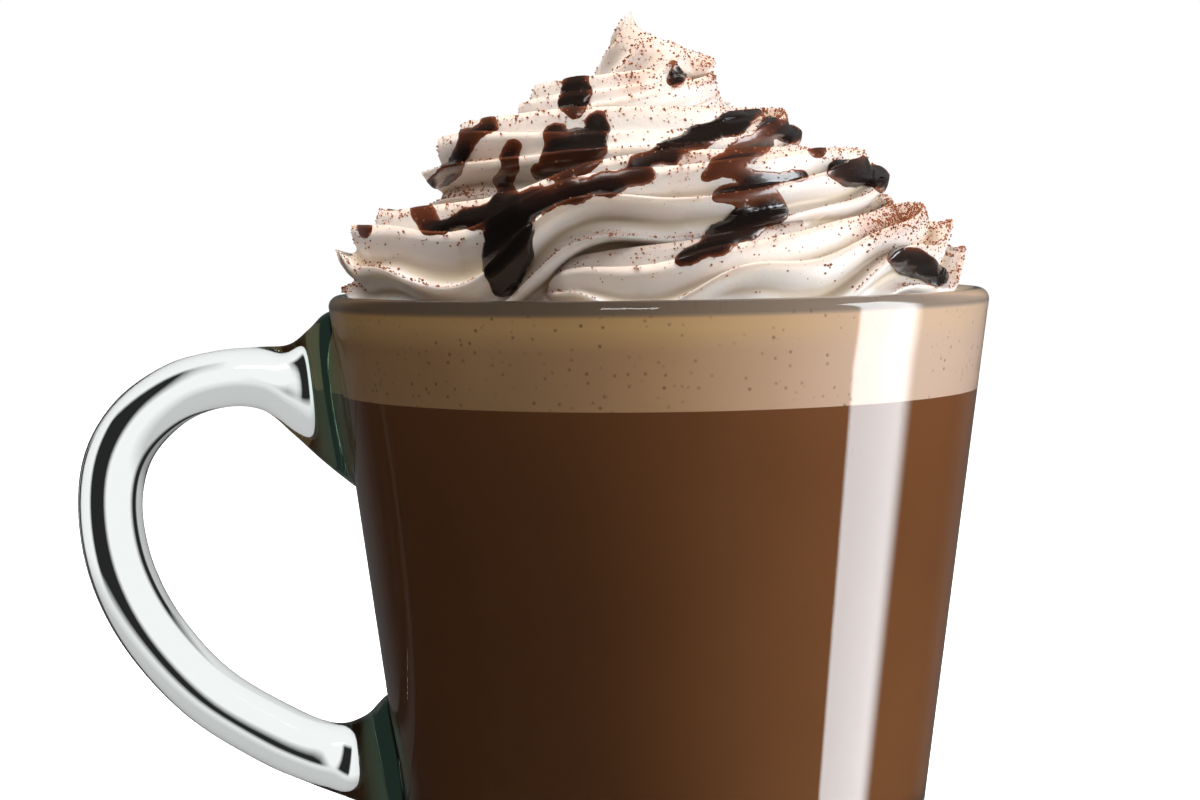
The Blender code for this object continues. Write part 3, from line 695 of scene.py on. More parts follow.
# Across and above the rim on the upright plane through the axis, and the width there, in mm.
SYRUP_STRANDS = [
    ([(-24.0, 24.6, 2.2), (-27.4, 22.4, 2.6), (-29.4, 18.0, 2.6), (-32.4, 16.2, 2.4),
      (-35.4, 13.4, 2.0)], 1.1),
    ([(-42.6, 9.6, 2.2), (-42.0, 10.4, 2.2)], 0.8),
    ([(-35.0, 13.2, 3.2), (-33.4, 10.4, 4.0)], 0.25),
    ([(-11.4, 31.0, 3.6), (-11.6, 27.6, 4.6)], 1.4),
    ([(3.0, 32.8, 1.6), (3.4, 30.6, 2.6)], 1.0),
    ([(-14.6, 23.4, 3.0), (-14.0, 21.2, 4.0), (-15.0, 18.4, 4.4)], 0.5),
    ([(-8.6, 24.4, 3.4), (-8.6, 21.2, 3.8), (-11.0, 18.4, 4.0), (-17.0, 17.6, 2.6)], 1.1),
    ([(-13.6, 20.6, 5.2), (-9.4, 21.4, 5.0)], 1.0),
    ([(-20.6, 21.4, 2.4), (-21.4, 19.2, 2.8), (-22.0, 16.4, 3.0), (-21.6, 14.2, 3.0)], 0.22),
    ([(-31.2, 9.6, 2.2), (-27.6, 10.8, 3.2), (-20.0, 12.4, 3.8), (-12.4, 14.6, 4.0), (-7.0, 15.6, 3.4),
      (-1.0, 17.2, 2.4)], 1.4),
    ([(-21.2, 11.0, 7.6), (-21.6, 7.0, 7.0), (-22.2, 3.6, 6.6), (-22.6, 1.6, 4.8)], 1.8),
    ([(-2.6, 18.6, 2.6), (2.0, 20.0, 3.4), (6.0, 22.0, 3.6), (12.6, 24.6, 3.6), (14.4, 26.0, 2.6)], 1.4),
    ([(16.4, 23.4, 2.8), (19.6, 23.0, 3.0), (22.0, 21.4, 2.8), (23.6, 19.8, 2.0)], 1.2),
    ([(16.2, 23.0, 3.2), (15.4, 21.2, 3.4), (11.6, 19.4, 3.4), (7.4, 16.6, 2.2)], 0.6),
    ([(11.0, 17.4, 2.6), (15.0, 15.4, 3.0), (21.6, 16.6, 1.2)], 0.4),
    ([(9.4, 13.6, 2.8), (14.6, 14.2, 4.0), (17.4, 12.0, 3.4)], 0.22),
    ([(17.4, 11.0, 3.4), (13.0, 9.4, 5.0), (8.0, 6.4, 4.0), (3.6, 4.2, 2.0)], 1.5),
    ([(26.6, 17.0, 3.2), (30.0, 16.6, 4.2), (34.0, 15.0, 2.6)], 1.5),
    ([(36.0, 4.0, 3.6), (38.6, 2.8, 4.6), (41.4, 1.4, 2.6)], 1.6),
]
# On the far side: degrees from +X, height above the rim and width.
BACK_EYE = Vector((0, 300 * MM, MUG_HEIGHT + 14 * MM))
BACK_STRANDS = [
    [(150, 26.0, 3.0), (136, 21.0, 3.4), (124, 17.5, 3.2), (108, 13.0, 3.8), (98, 8.0, 3.4)],
    [(62, 27.0, 3.0), (76, 24.0, 3.4), (92, 21.0, 3.2), (112, 19.0, 2.6)],
    [(30, 16.0, 3.0), (44, 13.0, 3.8), (56, 9.0, 4.0), (60, 4.0, 3.4)],
    [(168, 18.0, 2.8), (160, 12.0, 3.6), (152, 7.0, 3.2)],
]
BACK_THICKNESS = 1.3


def on_plane(points, eye):
    """Where points appear on the plane y = 0, seen from an eye: mm across and above the rim."""
    away = points - np.array(eye)
    share = (-eye.y / away[:, 1])[:, None]
    seen = np.array(eye) + away * share
    return (seen[:, [0, 2]] - (0, MUG_HEIGHT)) / MM


def back_strands():
    """The far strands, carried on to the cream from the side and seen from the far eye."""
    found = []
    for points in BACK_STRANDS:
        strand = []
        for angle, height, width in points:
            turn = math.radians(angle)
            side = Vector((math.cos(turn), math.sin(turn), 0))
            start = side * 60 * MM + Vector((0, 0, MUG_HEIGHT + height * MM))
            place = cream_tree.ray_cast(start, -side)[0]
            if place:
                x, z = on_plane(np.array([place]), BACK_EYE)[0]
                strand.append((x, z, width))
        found.append((strand, BACK_THICKNESS))
    return found


# %% How far inside the syrup's outline a point is
BLEND = 0.25                     # mm, how softly two strands run into each other
FAR_OUTSIDE = -50.0


def wobble(x, z):
    """The outline isn't even: a few waves of different length."""
    return (0.24 * np.sin(1.1 * x + 0.6 * z) + 0.18 * np.sin(1.9 * z - 0.8 * x + 2)
            + 0.05 * np.sin(4.3 * x + 3.1 * z + 1))


def outline_depth(flat, strands):
    """Depth inside the outline (mm, negative outside) and the thickness of the strand there."""
    depth = np.full(len(flat), FAR_OUTSIDE)
    thick = np.zeros(len(flat))
    for points, thickness in strands:
        for (ax, az, aw), (bx, bz, bw) in zip(points, points[1:]):
            along = np.array((bx - ax, bz - az))
            at = flat - (ax, az)
            share = np.clip(at @ along / (along @ along), 0, 1)
            here = (aw + (bw - aw) * share) / 2 - np.linalg.norm(at - share[:, None] * along, axis=1)
            thick = np.where(here > depth, thickness, thick)
            gap = np.clip(0.5 + 0.5 * (here - depth) / BLEND, 0, 1)
            depth = depth + (here - depth) * gap + BLEND * gap * (1 - gap)
    return depth + wobble(*flat.T), thick


def seen_from(eye, points, wanted):
    """1 where a wanted point can be seen from the eye or lies in the groove just behind a crest."""
    seen = np.zeros(len(points))
    for n in np.flatnonzero(wanted):
        place = Vector(points[n])
        first = cream_tree.ray_cast(eye, (place - eye).normalized())[0]
        if first and (first - place).length < GROOVE_REACH:
            seen[n] = 1
    return seen


# %% Cut the patch of cream under the syrup
SYRUP_SIDES = [(POUR_EYE, SYRUP_STRANDS), (BACK_EYE, back_strands())]
SEEN_SOFTENING = 5               # rounds of smoothing where the syrup runs out of sight
SEEN_EDGE = 0.34                 # the share of sight at which it ends there
GROOVE_REACH = 7 * MM
FINE_EDGE = 0.58 * MM
MARGIN = 1.5                     # mm of cream kept round the outline
HALF_WAY = 5 * MM                # nearer points take the near strands, the others the far ones


def fine_patch(near, layers):
    """The faces of the cream with a near point, cut finer, with the values of each layer."""
    shape = bmesh.new()
    shape.from_mesh(cream.data)
    shape.verts.ensure_lookup_table()
    for name, values in layers.items():
        layer = shape.verts.layers.float.new(name)
        for vert in shape.verts:
            vert[layer] = values[vert.index]
    far = [face for face in shape.faces if not any(near[v.index] for v in face.verts)]
    bmesh.ops.delete(shape, geom=far, context="FACES")
    for _ in range(2):
        long_edges = [edge for edge in shape.edges if edge.calc_length() > FINE_EDGE]
        bmesh.ops.subdivide_edges(shape, edges=long_edges, cuts=1)
        bmesh.ops.triangulate(shape, faces=shape.faces)
    shape.verts.index_update()
    points = np.array([vert.co for vert in shape.verts])
    normals = np.array([vert.normal for vert in shape.verts])
    faces = np.array([[vert.index for vert in face.verts] for face in shape.faces])
    values = {}
    for name in layers:
        layer = shape.verts.layers.float[name]
        values[name] = np.array([vert[layer] for vert in shape.verts])
    shape.free()
    return points, normals, faces, values


def cut_at_zero(faces, depth, rows):
    """Triangles cut along the line where depth is zero. Each new point mixes two rows of values."""
    rows = list(rows)
    made = {}
    kept = []

    def crossing(a, b):
        key = (min(a, b), max(a, b))
        if key not in made:
            share = depth[a] / (depth[a] - depth[b])
            made[key] = len(rows)
            rows.append(rows[a] + (rows[b] - rows[a]) * share)
        return made[key]

    for face in faces:
        inside = [depth[n] >= 0 for n in face]
        if all(inside):
            kept.append(tuple(face))
            continue
        if not any(inside):
            continue
        ring = []
        for n in range(3):
            a, b = face[n], face[(n + 1) % 3]
            if inside[n]:
                ring.append(a)
            if inside[n] != inside[(n + 1) % 3]:
                ring.append(crossing(a, b))
        kept += [(ring[0], ring[n], ring[n + 1]) for n in range(1, len(ring) - 1)]
    return np.array(kept), np.array(rows)


# %% Push the patch out by the syrup's thickness
SHOULDER = 1.35                  # mm from the edge to the full thickness
FILM = 0.10                      # mm, on a crest
CREST_HEIGHT = 0.30              # mm, what counts as a full crest
EDGE_SINK = 0.05                 # mm that the edge dips into the cream, so that it never floats
DEEP = 1.2                       # mm, where syrup is black
SKIN = 0.15 * MM
THICK_ROUNDS, NORMAL_ROUNDS, HEIGHT_ROUNDS = 12, 8, 4    # of smoothing


def syrup_patch():
    """The patch cut along the outline: rows of point, normal, depth, thickness, groove; faces."""
    front = cream_points[:, 1] < HALF_WAY
    layers = {"groove": fill_needed / MM}
    near = np.zeros(len(cream_points), bool)
    for side, (eye, strands) in enumerate(SYRUP_SIDES):
        depth, _ = outline_depth(on_plane(cream_points, eye), strands)
        wanted = (depth > -MARGIN) & (front if side == 0 else ~front)
        seen = seen_from(eye, cream_points, wanted)
        layers[f"seen_{side}"] = smooth(seen, cream_edges, SEEN_SOFTENING)
        near |= wanted & (layers[f"seen_{side}"] > 0.1)
    points, normals, faces, values = fine_patch(near, layers)
    depth = np.full(len(points), -5.0)
    thick = np.zeros(len(points))
    for side, (eye, strands) in enumerate(SYRUP_SIDES):
        drawn, strand_thick = outline_depth(on_plane(points, eye), strands)
        drawn = np.minimum(drawn, (values[f"seen_{side}"] - SEEN_EDGE) * 3.0)
        thick = np.where(drawn > depth, strand_thick, thick)
        depth = np.maximum(depth, drawn)
    rows = np.column_stack([points, normals, depth, thick, values["groove"]])
    faces, rows = cut_at_zero(faces, depth, rows)
    used, faces = np.unique(faces, return_inverse=True)
    return rows[used], faces.reshape(-1, 3)


def syrup_height(depth, thick, groove, edges):
    """Millimetres of syrup: a rounded shoulder at the edge, deep in grooves, a film on crests."""
    dome = np.sqrt(1 - (1 - np.clip(depth / SHOULDER, 0, 1)) ** 2)
    thick = smooth(thick, edges, THICK_ROUNDS)
    crest = np.clip(-groove / CREST_HEIGHT, 0, 1) * np.clip(2.4 - thick, 0.1, 1)
    in_groove = 1.2 * np.minimum(thick, 1) * np.maximum(groove, 0)
    height = dome * (FILM + 0.45 * thick * (1 - 0.85 * crest) + in_groove)
    return smooth(height, edges, HEIGHT_ROUNDS) - EDGE_SINK * (1 - np.clip(depth / 0.2, 0, 1))


def make_syrup():
    rows, faces = syrup_patch()
    sides = np.concatenate([faces[:, [0, 1]], faces[:, [1, 2]], faces[:, [2, 0]]])
    edges = np.unique(np.sort(sides, axis=1), axis=0)
    points, normals = rows[:, :3], unit(smooth(rows[:, 3:6], edges, NORMAL_ROUNDS))
    height = syrup_height(*rows[:, 6:].T, edges)
    syrup = object_from("chocolate_syrup", points + normals * height[:, None] * MM, faces)
    store_value(syrup, "syrup_depth", np.clip(height / DEEP, 0, 1))
    make_active(syrup)
    wall = syrup.modifiers.new("wall", "SOLIDIFY")
    wall.thickness = SKIN
    wall.offset = -1
    bpy.ops.object.modifier_apply(modifier="wall")
    syrup.data.validate()            # the finer cut leaves a few faces double; one of each stays
    bpy.ops.object.shade_smooth()
    print(f"syrup: {triangles(syrup)} triangles, thickness up to {height.max():.1f} mm")
    return syrup


syrup = make_syrup()

# %% [markdown]
# ## Cocoa powder
# The powder fell from above, so it lies thickest on what faces up and along the crests, and in
# small heaps where the spoon passed. Each grain is a true lump of a few faces. They are copied by
# array into one mesh, because a particle system is lost when the model is exported.

# %% Where the powder lies thick
# Across and above the rim as seen from the front, radius (mm) and strength.
POWDER_PATCHES = [
    (33.0, 7.6, 3.2, 9.0), (36.0, 9.4, 2.6, 7.0), (45.6, 1.2, 2.6, 6.0), (16.4, 26.4, 3.6, 5.0),
    (20.0, 24.6, 3.0, 3.0), (-26.4, 17.6, 3.6, 3.5), (-28.4, 14.4, 3.0, 2.5), (-23.0, 20.4, 3.0, 2.0),
    (-3.6, 36.4, 3.6, 2.5), (0.6, 33.6, 3.0, 2.0), (6.6, 31.6, 3.0, 4.5), (-3.0, 30.4, 2.4, 3.0),
    (-46.6, 1.0, 2.2, 5.0), (-42.0, 3.4, 3.0, 1.5), (14.6, 18.4, 3.6, 2.6), (5.0, 17.8, 4.0, 2.4),
    (-22.6, -0.4, 1.8, 4.0), (40.6, 6.0, 4.0, 2.2), (38.0, 12.0, 4.0, 1.6), (12.0, 15.0, 3.0, 2.0),
]
GRAINS = 24000
GRAIN_SIZE = (0.06 * MM, 0.23 * MM)      # half size, small ones most often
SMALL_GRAINS = 2.6               # the higher, the more grains are small
GRAIN_LIFT = 0.35                # of its half size, so a grain is bedded in the cream
GRAIN_SEED = 5
RAIN, RAIN_ON_TOP, RAIN_ON_CRESTS = 0.03, 0.30, 3.2


def powder_strength(points, normals, groove):
    """How much powder lies at each point: the rain from above, the crests, and the patches."""
    across, above = on_plane(points, POUR_EYE).T
    faces_up = np.clip(normals[:, 2], 0, 1)
    crest = np.clip(-groove / (0.25 * MM), 0, 1)
    amount = RAIN + RAIN_ON_TOP * faces_up ** 2 + RAIN_ON_CRESTS * crest * (0.25 + faces_up)
    front = points[:, 1] < 15 * MM
    for x, z, radius, strength in POWDER_PATCHES:
        near = np.exp(-((across - x) ** 2 + (above - z) ** 2) / (2 * (radius * 0.6) ** 2))
        amount += strength * near * front * np.clip(normals[:, 2] + 0.6, 0.15, 1)
    above_rim = points[:, 2] > MUG_HEIGHT + GAP
    return amount * np.clip((normals[:, 2] + 0.5) / 0.7, 0, 1) * above_rim


def grain_shape():
    """A rough lump: an octahedron, eight faces."""
    points = np.array([(1, 0, 0), (-1, 0, 0), (0, 1, 0), (0, -1, 0), (0, 0, 1), (0, 0, -1)], float)
    faces = [(0, 2, 4), (2, 1, 4), (1, 3, 4), (3, 0, 4), (2, 0, 5), (1, 2, 5), (3, 1, 5), (0, 3, 5)]
    return points, np.array(faces)


def random_turns(count, draw):
    """One random rotation matrix for each grain, from unit quaternions."""
    q = unit(draw.normal(size=(count, 4)))
    w, x, y, z = q.T
    turns = np.stack([1 - 2 * (y * y + z * z), 2 * (x * y - z * w), 2 * (x * z + y * w),
                      2 * (x * y + z * w), 1 - 2 * (x * x + z * z), 2 * (y * z - x * w),
                      2 * (x * z - y * w), 2 * (y * z + x * w), 1 - 2 * (x * x + y * y)], -1)
    return turns.reshape(-1, 3, 3)


# %% Scatter the grains
def make_powder():
    draw = np.random.default_rng(GRAIN_SEED)
    a, b, c = (cream_points[cream_faces[:, n]] for n in range(3))
    cross = np.cross(b - a, c - a)
    area = np.linalg.norm(cross, axis=1) / 2
    face_normal = cross / np.maximum(2 * area, 1e-15)[:, None]
    weight = area * powder_strength((a + b + c) / 3, face_normal, fill_needed[cream_faces].mean(1))
    chosen = draw.choice(len(area), GRAINS, p=weight / weight.sum())
    u, v = draw.random((2, GRAINS))
    flip = u + v > 1
    u[flip], v[flip] = 1 - u[flip], 1 - v[flip]
    place = a[chosen] + (b[chosen] - a[chosen]) * u[:, None] + (c[chosen] - a[chosen]) * v[:, None]
    low, high = GRAIN_SIZE
    size = low + (high - low) * draw.random(GRAINS) ** SMALL_GRAINS
    place += face_normal[chosen] * size[:, None] * GRAIN_LIFT
    shape, faces = grain_shape()
    lumps = shape[None] * (0.65 + 0.7 * draw.random((GRAINS, 6, 1))) * size[:, None, None]
    lumps = np.einsum("nij,nkj->nki", random_turns(GRAINS, draw), lumps) + place[:, None]
    all_faces = faces[None] + (np.arange(GRAINS) * 6)[:, None, None]
    return object_from("cocoa_powder", lumps.reshape(-1, 3), all_faces.reshape(-1, 3))


powder = make_powder()
store_value(cream, "dust", np.clip(powder_strength(cream_points, cream_normals, fill_needed) / 4, 0, 1))
# relief is 0 at the bottom of a groove and 1 on a crest; the cream's colour paints shade from it
store_value(cream, "relief", np.clip(0.5 - smooth(fill_needed, cream_edges, 2) / (0.9 * MM), 0, 1))
print(f"cocoa powder: {GRAINS} grains")

# %% [markdown]
# ## Materials
# Each finish is one Principled BSDF with its pattern on Object coordinates, so the patterns stay on
# the pieces from every side. Values that are the same all over stay on the shader's own sockets.
# A node is added in one line, with its inputs as numbers, colours or the outputs that feed them.

# %% Helpers for nodes
def set_inputs(node, values):
    """Each input gets a number or a colour, or is linked to the output that is given for it."""
    for name, value in values.items():
        socket = node.inputs[name]
        if isinstance(value, bpy.types.NodeSocket):
            node.id_data.links.new(value, socket)
        elif isinstance(value, tuple):
            socket.default_value = (*value, 1)[:len(socket.default_value)]
        else:
            socket.default_value = value


def add_node(nodes, kind, inputs=None, **settings):
    node = nodes.new("ShaderNode" + kind)
    for name, value in settings.items():
        setattr(node, name, value)
    set_inputs(node, inputs or {})
    return node


def new_material(name):
    material = bpy.data.materials.new(name)
    material.use_nodes = True
    nodes = material.node_tree.nodes
    return material, nodes, nodes["Principled BSDF"]


def ramp(nodes, source, stops):
    """A colour ramp from (position, colour) stops; a single number is a grey."""
    node = add_node(nodes, "ValToRGB", {"Fac": source})
    elements = node.color_ramp.elements
    while len(elements) < len(stops):
        elements.new(0.5)
    for element, (position, colour) in zip(elements, stops):
        element.position = position
        element.color = (*colour, 1) if isinstance(colour, tuple) else (colour, colour, colour, 1)
    return node.outputs["Color"]


def mask(nodes, value, low, high, result=(0.0, 1.0)):
    """Blends from one value to another as the input goes from low to high."""
    inputs = {"Value": value, "From Min": low, "From Max": high, "To Min": result[0], "To Max": result[1]}
    return add_node(nodes, "MapRange", inputs).outputs["Result"]


def calculate(nodes, operation, first, second=0.0):
    return add_node(nodes, "Math", {0: first, 1: second}, operation=operation).outputs["Value"]


def product(nodes, first, *others):
    for other in others:
        first = calculate(nodes, "MULTIPLY", first, other)
    return first


def blend(nodes, share, first, second):
    """The first colour where the share is 0, the second where it is 1."""
    inputs = {"Factor": share, "A": first, "B": second}
    return add_node(nodes, "Mix", inputs, data_type="RGBA").outputs["Result"]


def stored(nodes, name):
    """A value that was stored on the points of the piece."""
    return add_node(nodes, "Attribute", attribute_name=name).outputs["Fac"]


def coordinates(nodes, kind="Object"):
    """The texture coordinate, whole and split into X, Y and Z."""
    place = add_node(nodes, "TexCoord").outputs[kind]
    return place, *add_node(nodes, "SeparateXYZ", {"Vector": place}).outputs


# %% [markdown]
# ### One cloudy pattern for all
# A soft cloudy pattern is in the drink, the foam, the cream and the powder, each at its own scale.
# It could be four noise textures; as one node group, it is built once and placed in each of them.

# %% The cloud group
def make_cloud_group():
    """Soft noise on Object coordinates, with its scale and detail as inputs and one value out."""
    group = bpy.data.node_groups.new("cloud", "ShaderNodeTree")
    names = ("Scale", "Detail", "Roughness")
    for name in names:
        group.interface.new_socket(name, in_out="INPUT", socket_type="NodeSocketFloat")
    group.interface.new_socket("Cloud", in_out="OUTPUT", socket_type="NodeSocketFloat")
    given = group.nodes.new("NodeGroupInput")
    noise = add_node(group.nodes, "TexNoise", {name: given.outputs[name] for name in names})
    set_inputs(noise, {"Vector": coordinates(group.nodes)[0]})
    set_inputs(group.nodes.new("NodeGroupOutput"), {"Cloud": noise.outputs["Fac"]})
    return group


cloud_group = make_cloud_group()
print("cloud group:", [socket.name for socket in cloud_group.interface.items_tree])


def cloud(nodes, scale, detail=2.0, roughness=0.5):
    """The group placed in a material, with the material's own values."""
    inputs = {"Scale": scale, "Detail": detail, "Roughness": roughness}
    return add_node(nodes, "Group", inputs, node_tree=cloud_group).outputs["Cloud"]


# %% [markdown]
# ### Glass
# Clear glass takes its green from thickness: nothing shows through a wall, but the solid joints of
# the handle are deep. A Volume Absorption node gives that. The joints also get a faint painted glow,
# emission that stands in for light caught in the thick glass. Light from lamps would stop at the
# glass, so shadow rays pass straight through it.

# %% Glass
JOINT_DEPTH = (4.8 * MM, 2.6 * MM)       # how far out from the wall the green ends
JOINT_START = (0.05 * MM, 0.4 * MM)      # and where it starts, just clear of the wall itself
JOINT_GREEN = (0.50, 0.78, 0.68)
JOINT_PAINTED_GLOW = (0.011, 0.021, 0.016)       # painted glow: emission that stands in for light caught inside the thick glass
GLASS_TINT = (0.45, 0.80, 0.70)
TINT_DENSITY = 14.0


def joint_mask(nodes):
    """1 on the handle close to the wall, 0 on the wall itself and along the handle."""
    _, x, y, z = coordinates(nodes)
    squares = [calculate(nodes, "POWER", side, 2.0) for side in (x, y)]
    radius = calculate(nodes, "SQRT", calculate(nodes, "ADD", *squares))
    wall = mask(nodes, z, 0.0, MUG_HEIGHT, (outer_radius(0), outer_radius(MUG_HEIGHT)))
    out = calculate(nodes, "SUBTRACT", radius, wall)
    return product(nodes, mask(nodes, out, *JOINT_START), mask(nodes, out, *JOINT_DEPTH))


def make_glass():
    material, nodes, shader = new_material("clear pressed glass")
    joints = joint_mask(nodes)
    # the joints are tinted green, and their emission is a painted glow
    set_inputs(shader, {"Base Color": blend(nodes, joints, (1, 1, 1), JOINT_GREEN),
                        "Transmission Weight": 1.0, "IOR": 1.5, "Roughness": 0.0,
                        "Emission Color": blend(nodes, joints, (0, 0, 0), JOINT_PAINTED_GLOW),
                        "Emission Strength": 1.0})
    path = add_node(nodes, "LightPath")
    clear = add_node(nodes, "BsdfTransparent")
    mix = add_node(nodes, "MixShader", {"Fac": path.outputs["Is Shadow Ray"],
                                        1: shader.outputs["BSDF"], 2: clear.outputs["BSDF"]})
    tint = add_node(nodes, "VolumeAbsorption", {"Color": GLASS_TINT, "Density": TINT_DENSITY})
    set_inputs(nodes["Material Output"], {"Surface": mix.outputs["Shader"],
                                          "Volume": tint.outputs["Volume"]})
    return material


set_material(glass_mug, make_glass())

# %% [markdown]
# ### Drink and foam
# The drink is an even brown, a little cloudy. The foam is warmer and more golden in a band just
# under its top edge, most towards the handle. It is paler on the other side, which is painted light
# where the lamps at the right fall on it, and its very top edge is darker, which is painted shade.
# Dark specks of cocoa lie in it in loose groups: they are the middles of Voronoi cells, of which
# only some are shown.

# %% Drink
DRINK_BROWNS = [(0.3, (0.175, 0.064, 0.021)), (0.7, (0.210, 0.080, 0.027))]


def make_drink_material():
    material, nodes, shader = new_material("mocha")
    colour = ramp(nodes, cloud(nodes, 28, 2, 0.4), DRINK_BROWNS)
    set_inputs(shader, {"Base Color": colour, "Roughness": 0.35})
    return material


set_material(mocha, make_drink_material())

# %% Foam
FOAM_BROWNS = [(0.3, (0.57, 0.330, 0.172)), (0.7, (0.63, 0.375, 0.205))]
FOAM_PAINTED_LIGHT = (0.70, 0.51, 0.405)
FOAM_GOLD = (0.88, 0.575, 0.25)
FOAM_EDGE_SHADE = (0.20, 0.17, 0.145)
FOAM_SPECK = (0.26, 0.14, 0.08)
PAINTED_LIGHT_SIDE = (-2 * MM, 30 * MM)           # across: from where to where the painted light makes it pale
GOLD_SIDE = (22 * MM, -4 * MM)           # and golden
TOP_BAND = 5 * MM                        # height of the part with the golden arc and the painted shade at the edge


def foam_specks(nodes, place):
    """1 in the middle of some small cells, in loose groups."""
    cells = add_node(nodes, "TexVoronoi", {"Scale": 900, "Vector": place})
    spots = ramp(nodes, cells.outputs["Distance"], [(0.08, 1.0), (0.28, 0.0)])
    chosen = ramp(nodes, cells.outputs["Color"], [(0.38, 0.0), (0.62, 1.0)])
    return product(nodes, spots, chosen, mask(nodes, cloud(nodes, 75), 0.40, 0.54, (0.25, 1.0)))


def make_foam_material():
    material, nodes, shader = new_material("milk foam")
    place, x, _, z = coordinates(nodes)
    colour = ramp(nodes, cloud(nodes, 60, 3), FOAM_BROWNS)
    # painted light: paler towards +X, the side lit by the key lamp and the soft box
    colour = blend(nodes, mask(nodes, x, *PAINTED_LIGHT_SIDE, (0.0, 0.95)), colour, FOAM_PAINTED_LIGHT)
    height = mask(nodes, z, FOAM_TOP - TOP_BAND, FOAM_TOP + FOAM_CLIMB)
    arc = product(nodes, ramp(nodes, height, [(0.05, 0.0), (0.60, 0.72), (0.78, 0.66), (0.86, 0.0)]),
                  mask(nodes, x, *GOLD_SIDE, (0.3, 1.0)))
    colour = blend(nodes, arc, colour, FOAM_GOLD)
    # painted shade: the very top edge of the foam is darker
    colour = blend(nodes, ramp(nodes, height, [(0.80, 0.0), (0.90, 0.8)]), colour, FOAM_EDGE_SHADE)
    colour = blend(nodes, foam_specks(nodes, place), colour, FOAM_SPECK)
    set_inputs(shader, {"Base Color": colour, "Roughness": 0.6})
    return material


set_material(foam, make_foam_material())

# %% [markdown]
# ### Cream, syrup and powder
# Cream lets a little light through. Its colour follows how deep a point lies, which was stored on the
# mesh: painted shade makes the grooves darker and yellowish, and the crests lighter. Cocoa tints it
# where it lies thick. Syrup is red brown where it is a thin film and nearly black where it is deep.

# %% Cream
# painted shade: from the dark, yellowish bottom of a groove to a light crest
CREAM_WHITES_WITH_PAINTED_SHADE = [(0.0, (0.41, 0.31, 0.19)), (0.28, (0.57, 0.49, 0.395)), (0.52, (0.72, 0.675, 0.635)),
                (0.85, (0.825, 0.805, 0.79))]
DUST_BROWN = (0.46, 0.25, 0.15)


def make_cream_material():
    material, nodes, shader = new_material("whipped cream")
    # painted shade: darker and yellower in the grooves, lighter on the crests
    white = ramp(nodes, stored(nodes, "relief"), CREAM_WHITES_WITH_PAINTED_SHADE)
    dust = calculate(nodes, "MULTIPLY", stored(nodes, "dust"), 0.6)
    bump = add_node(nodes, "Bump", {"Strength": 0.12, "Distance": 0.3 * MM, "Height": cloud(nodes, 1400)})
    set_inputs(shader, {"Base Color": blend(nodes, dust, white, DUST_BROWN), "Roughness": 0.42,
                        "Subsurface Weight": 0.25, "Subsurface Radius": (1.0, 0.7, 0.45),
                        "Subsurface Scale": 2.5 * MM, "Normal": bump.outputs["Normal"]})
    return material


set_material(cream, make_cream_material())
make_active(cream)
bpy.ops.object.shade_smooth()
finish_piece(cream, "whipped_cream")

# %% Syrup
# from a thin film to deep syrup
SYRUP_BROWNS = [(0.0, (0.22, 0.066, 0.026)), (0.08, (0.12, 0.034, 0.015)), (0.17, (0.024, 0.011, 0.008)),
                (0.32, (0.009, 0.006, 0.005))]


def make_syrup_material():
    material, nodes, shader = new_material("chocolate syrup")
    set_inputs(shader, {"Base Color": ramp(nodes, stored(nodes, "syrup_depth"), SYRUP_BROWNS),
                        "Roughness": 0.24, "IOR": 1.48, "Coat Weight": 0.3, "Coat Roughness": 0.05})
    return material


set_material(syrup, make_syrup_material())
finish_piece(syrup)

# %% Powder
POWDER_BROWNS = [(0.3, (0.20, 0.062, 0.024)), (0.7, (0.42, 0.16, 0.07))]


def make_powder_material():
    material, nodes, shader = new_material("cocoa powder")
    set_inputs(shader, {"Base Color": ramp(nodes, cloud(nodes, 900), POWDER_BROWNS), "Roughness": 0.95})
    return material


set_material(powder, make_powder_material())
finish_piece(powder)

# %% [markdown]
# ## Floor and light
# The mug stands on a plain white floor in front of a white wall, and the room behind the camera is
# dark. That is how glass is usually lit: the white wall shines through it, the dark room draws its
# edges, and one tall soft box at the right leaves a single long band on it.

# %% The floor
FLOOR_SIZE = 4.0
FLOOR_Z = -0.2 * MM              # just under the foot, so the two never flicker


def hide_from(thing, *rays):
    for ray in rays:
        setattr(thing, f"visible_{ray}", False)


deselect_all()
bpy.ops.mesh.primitive_plane_add(size=FLOOR_SIZE, location=(0, 0, FLOOR_Z))
floor = bpy.context.object
floor.name = "studio_floor"
floor_material, _, floor_shader = new_material("pale floor")
set_inputs(floor_shader, {"Base Color": (0.9, 0.9, 0.9), "Roughness": 0.9, "Specular IOR Level": 0.0,
                          "Emission Color": (1, 1, 1), "Emission Strength": 1.0})
set_material(floor, floor_material)
hide_from(floor, "glossy", "diffuse", "transmission")

# %% [markdown]
# ### What the glass shows of the room
# A glass rod turns the room behind it upside down, so what stands there draws its lines. Here that
# is a white wall and floor, the dark room on both sides, and one dark card in front of the wall,
# whose picture is the dark streak along the handle. A world shader can hold all of it, as soft
# masks on the direction of a ray. Matt surfaces get a weak warm light from all round instead.

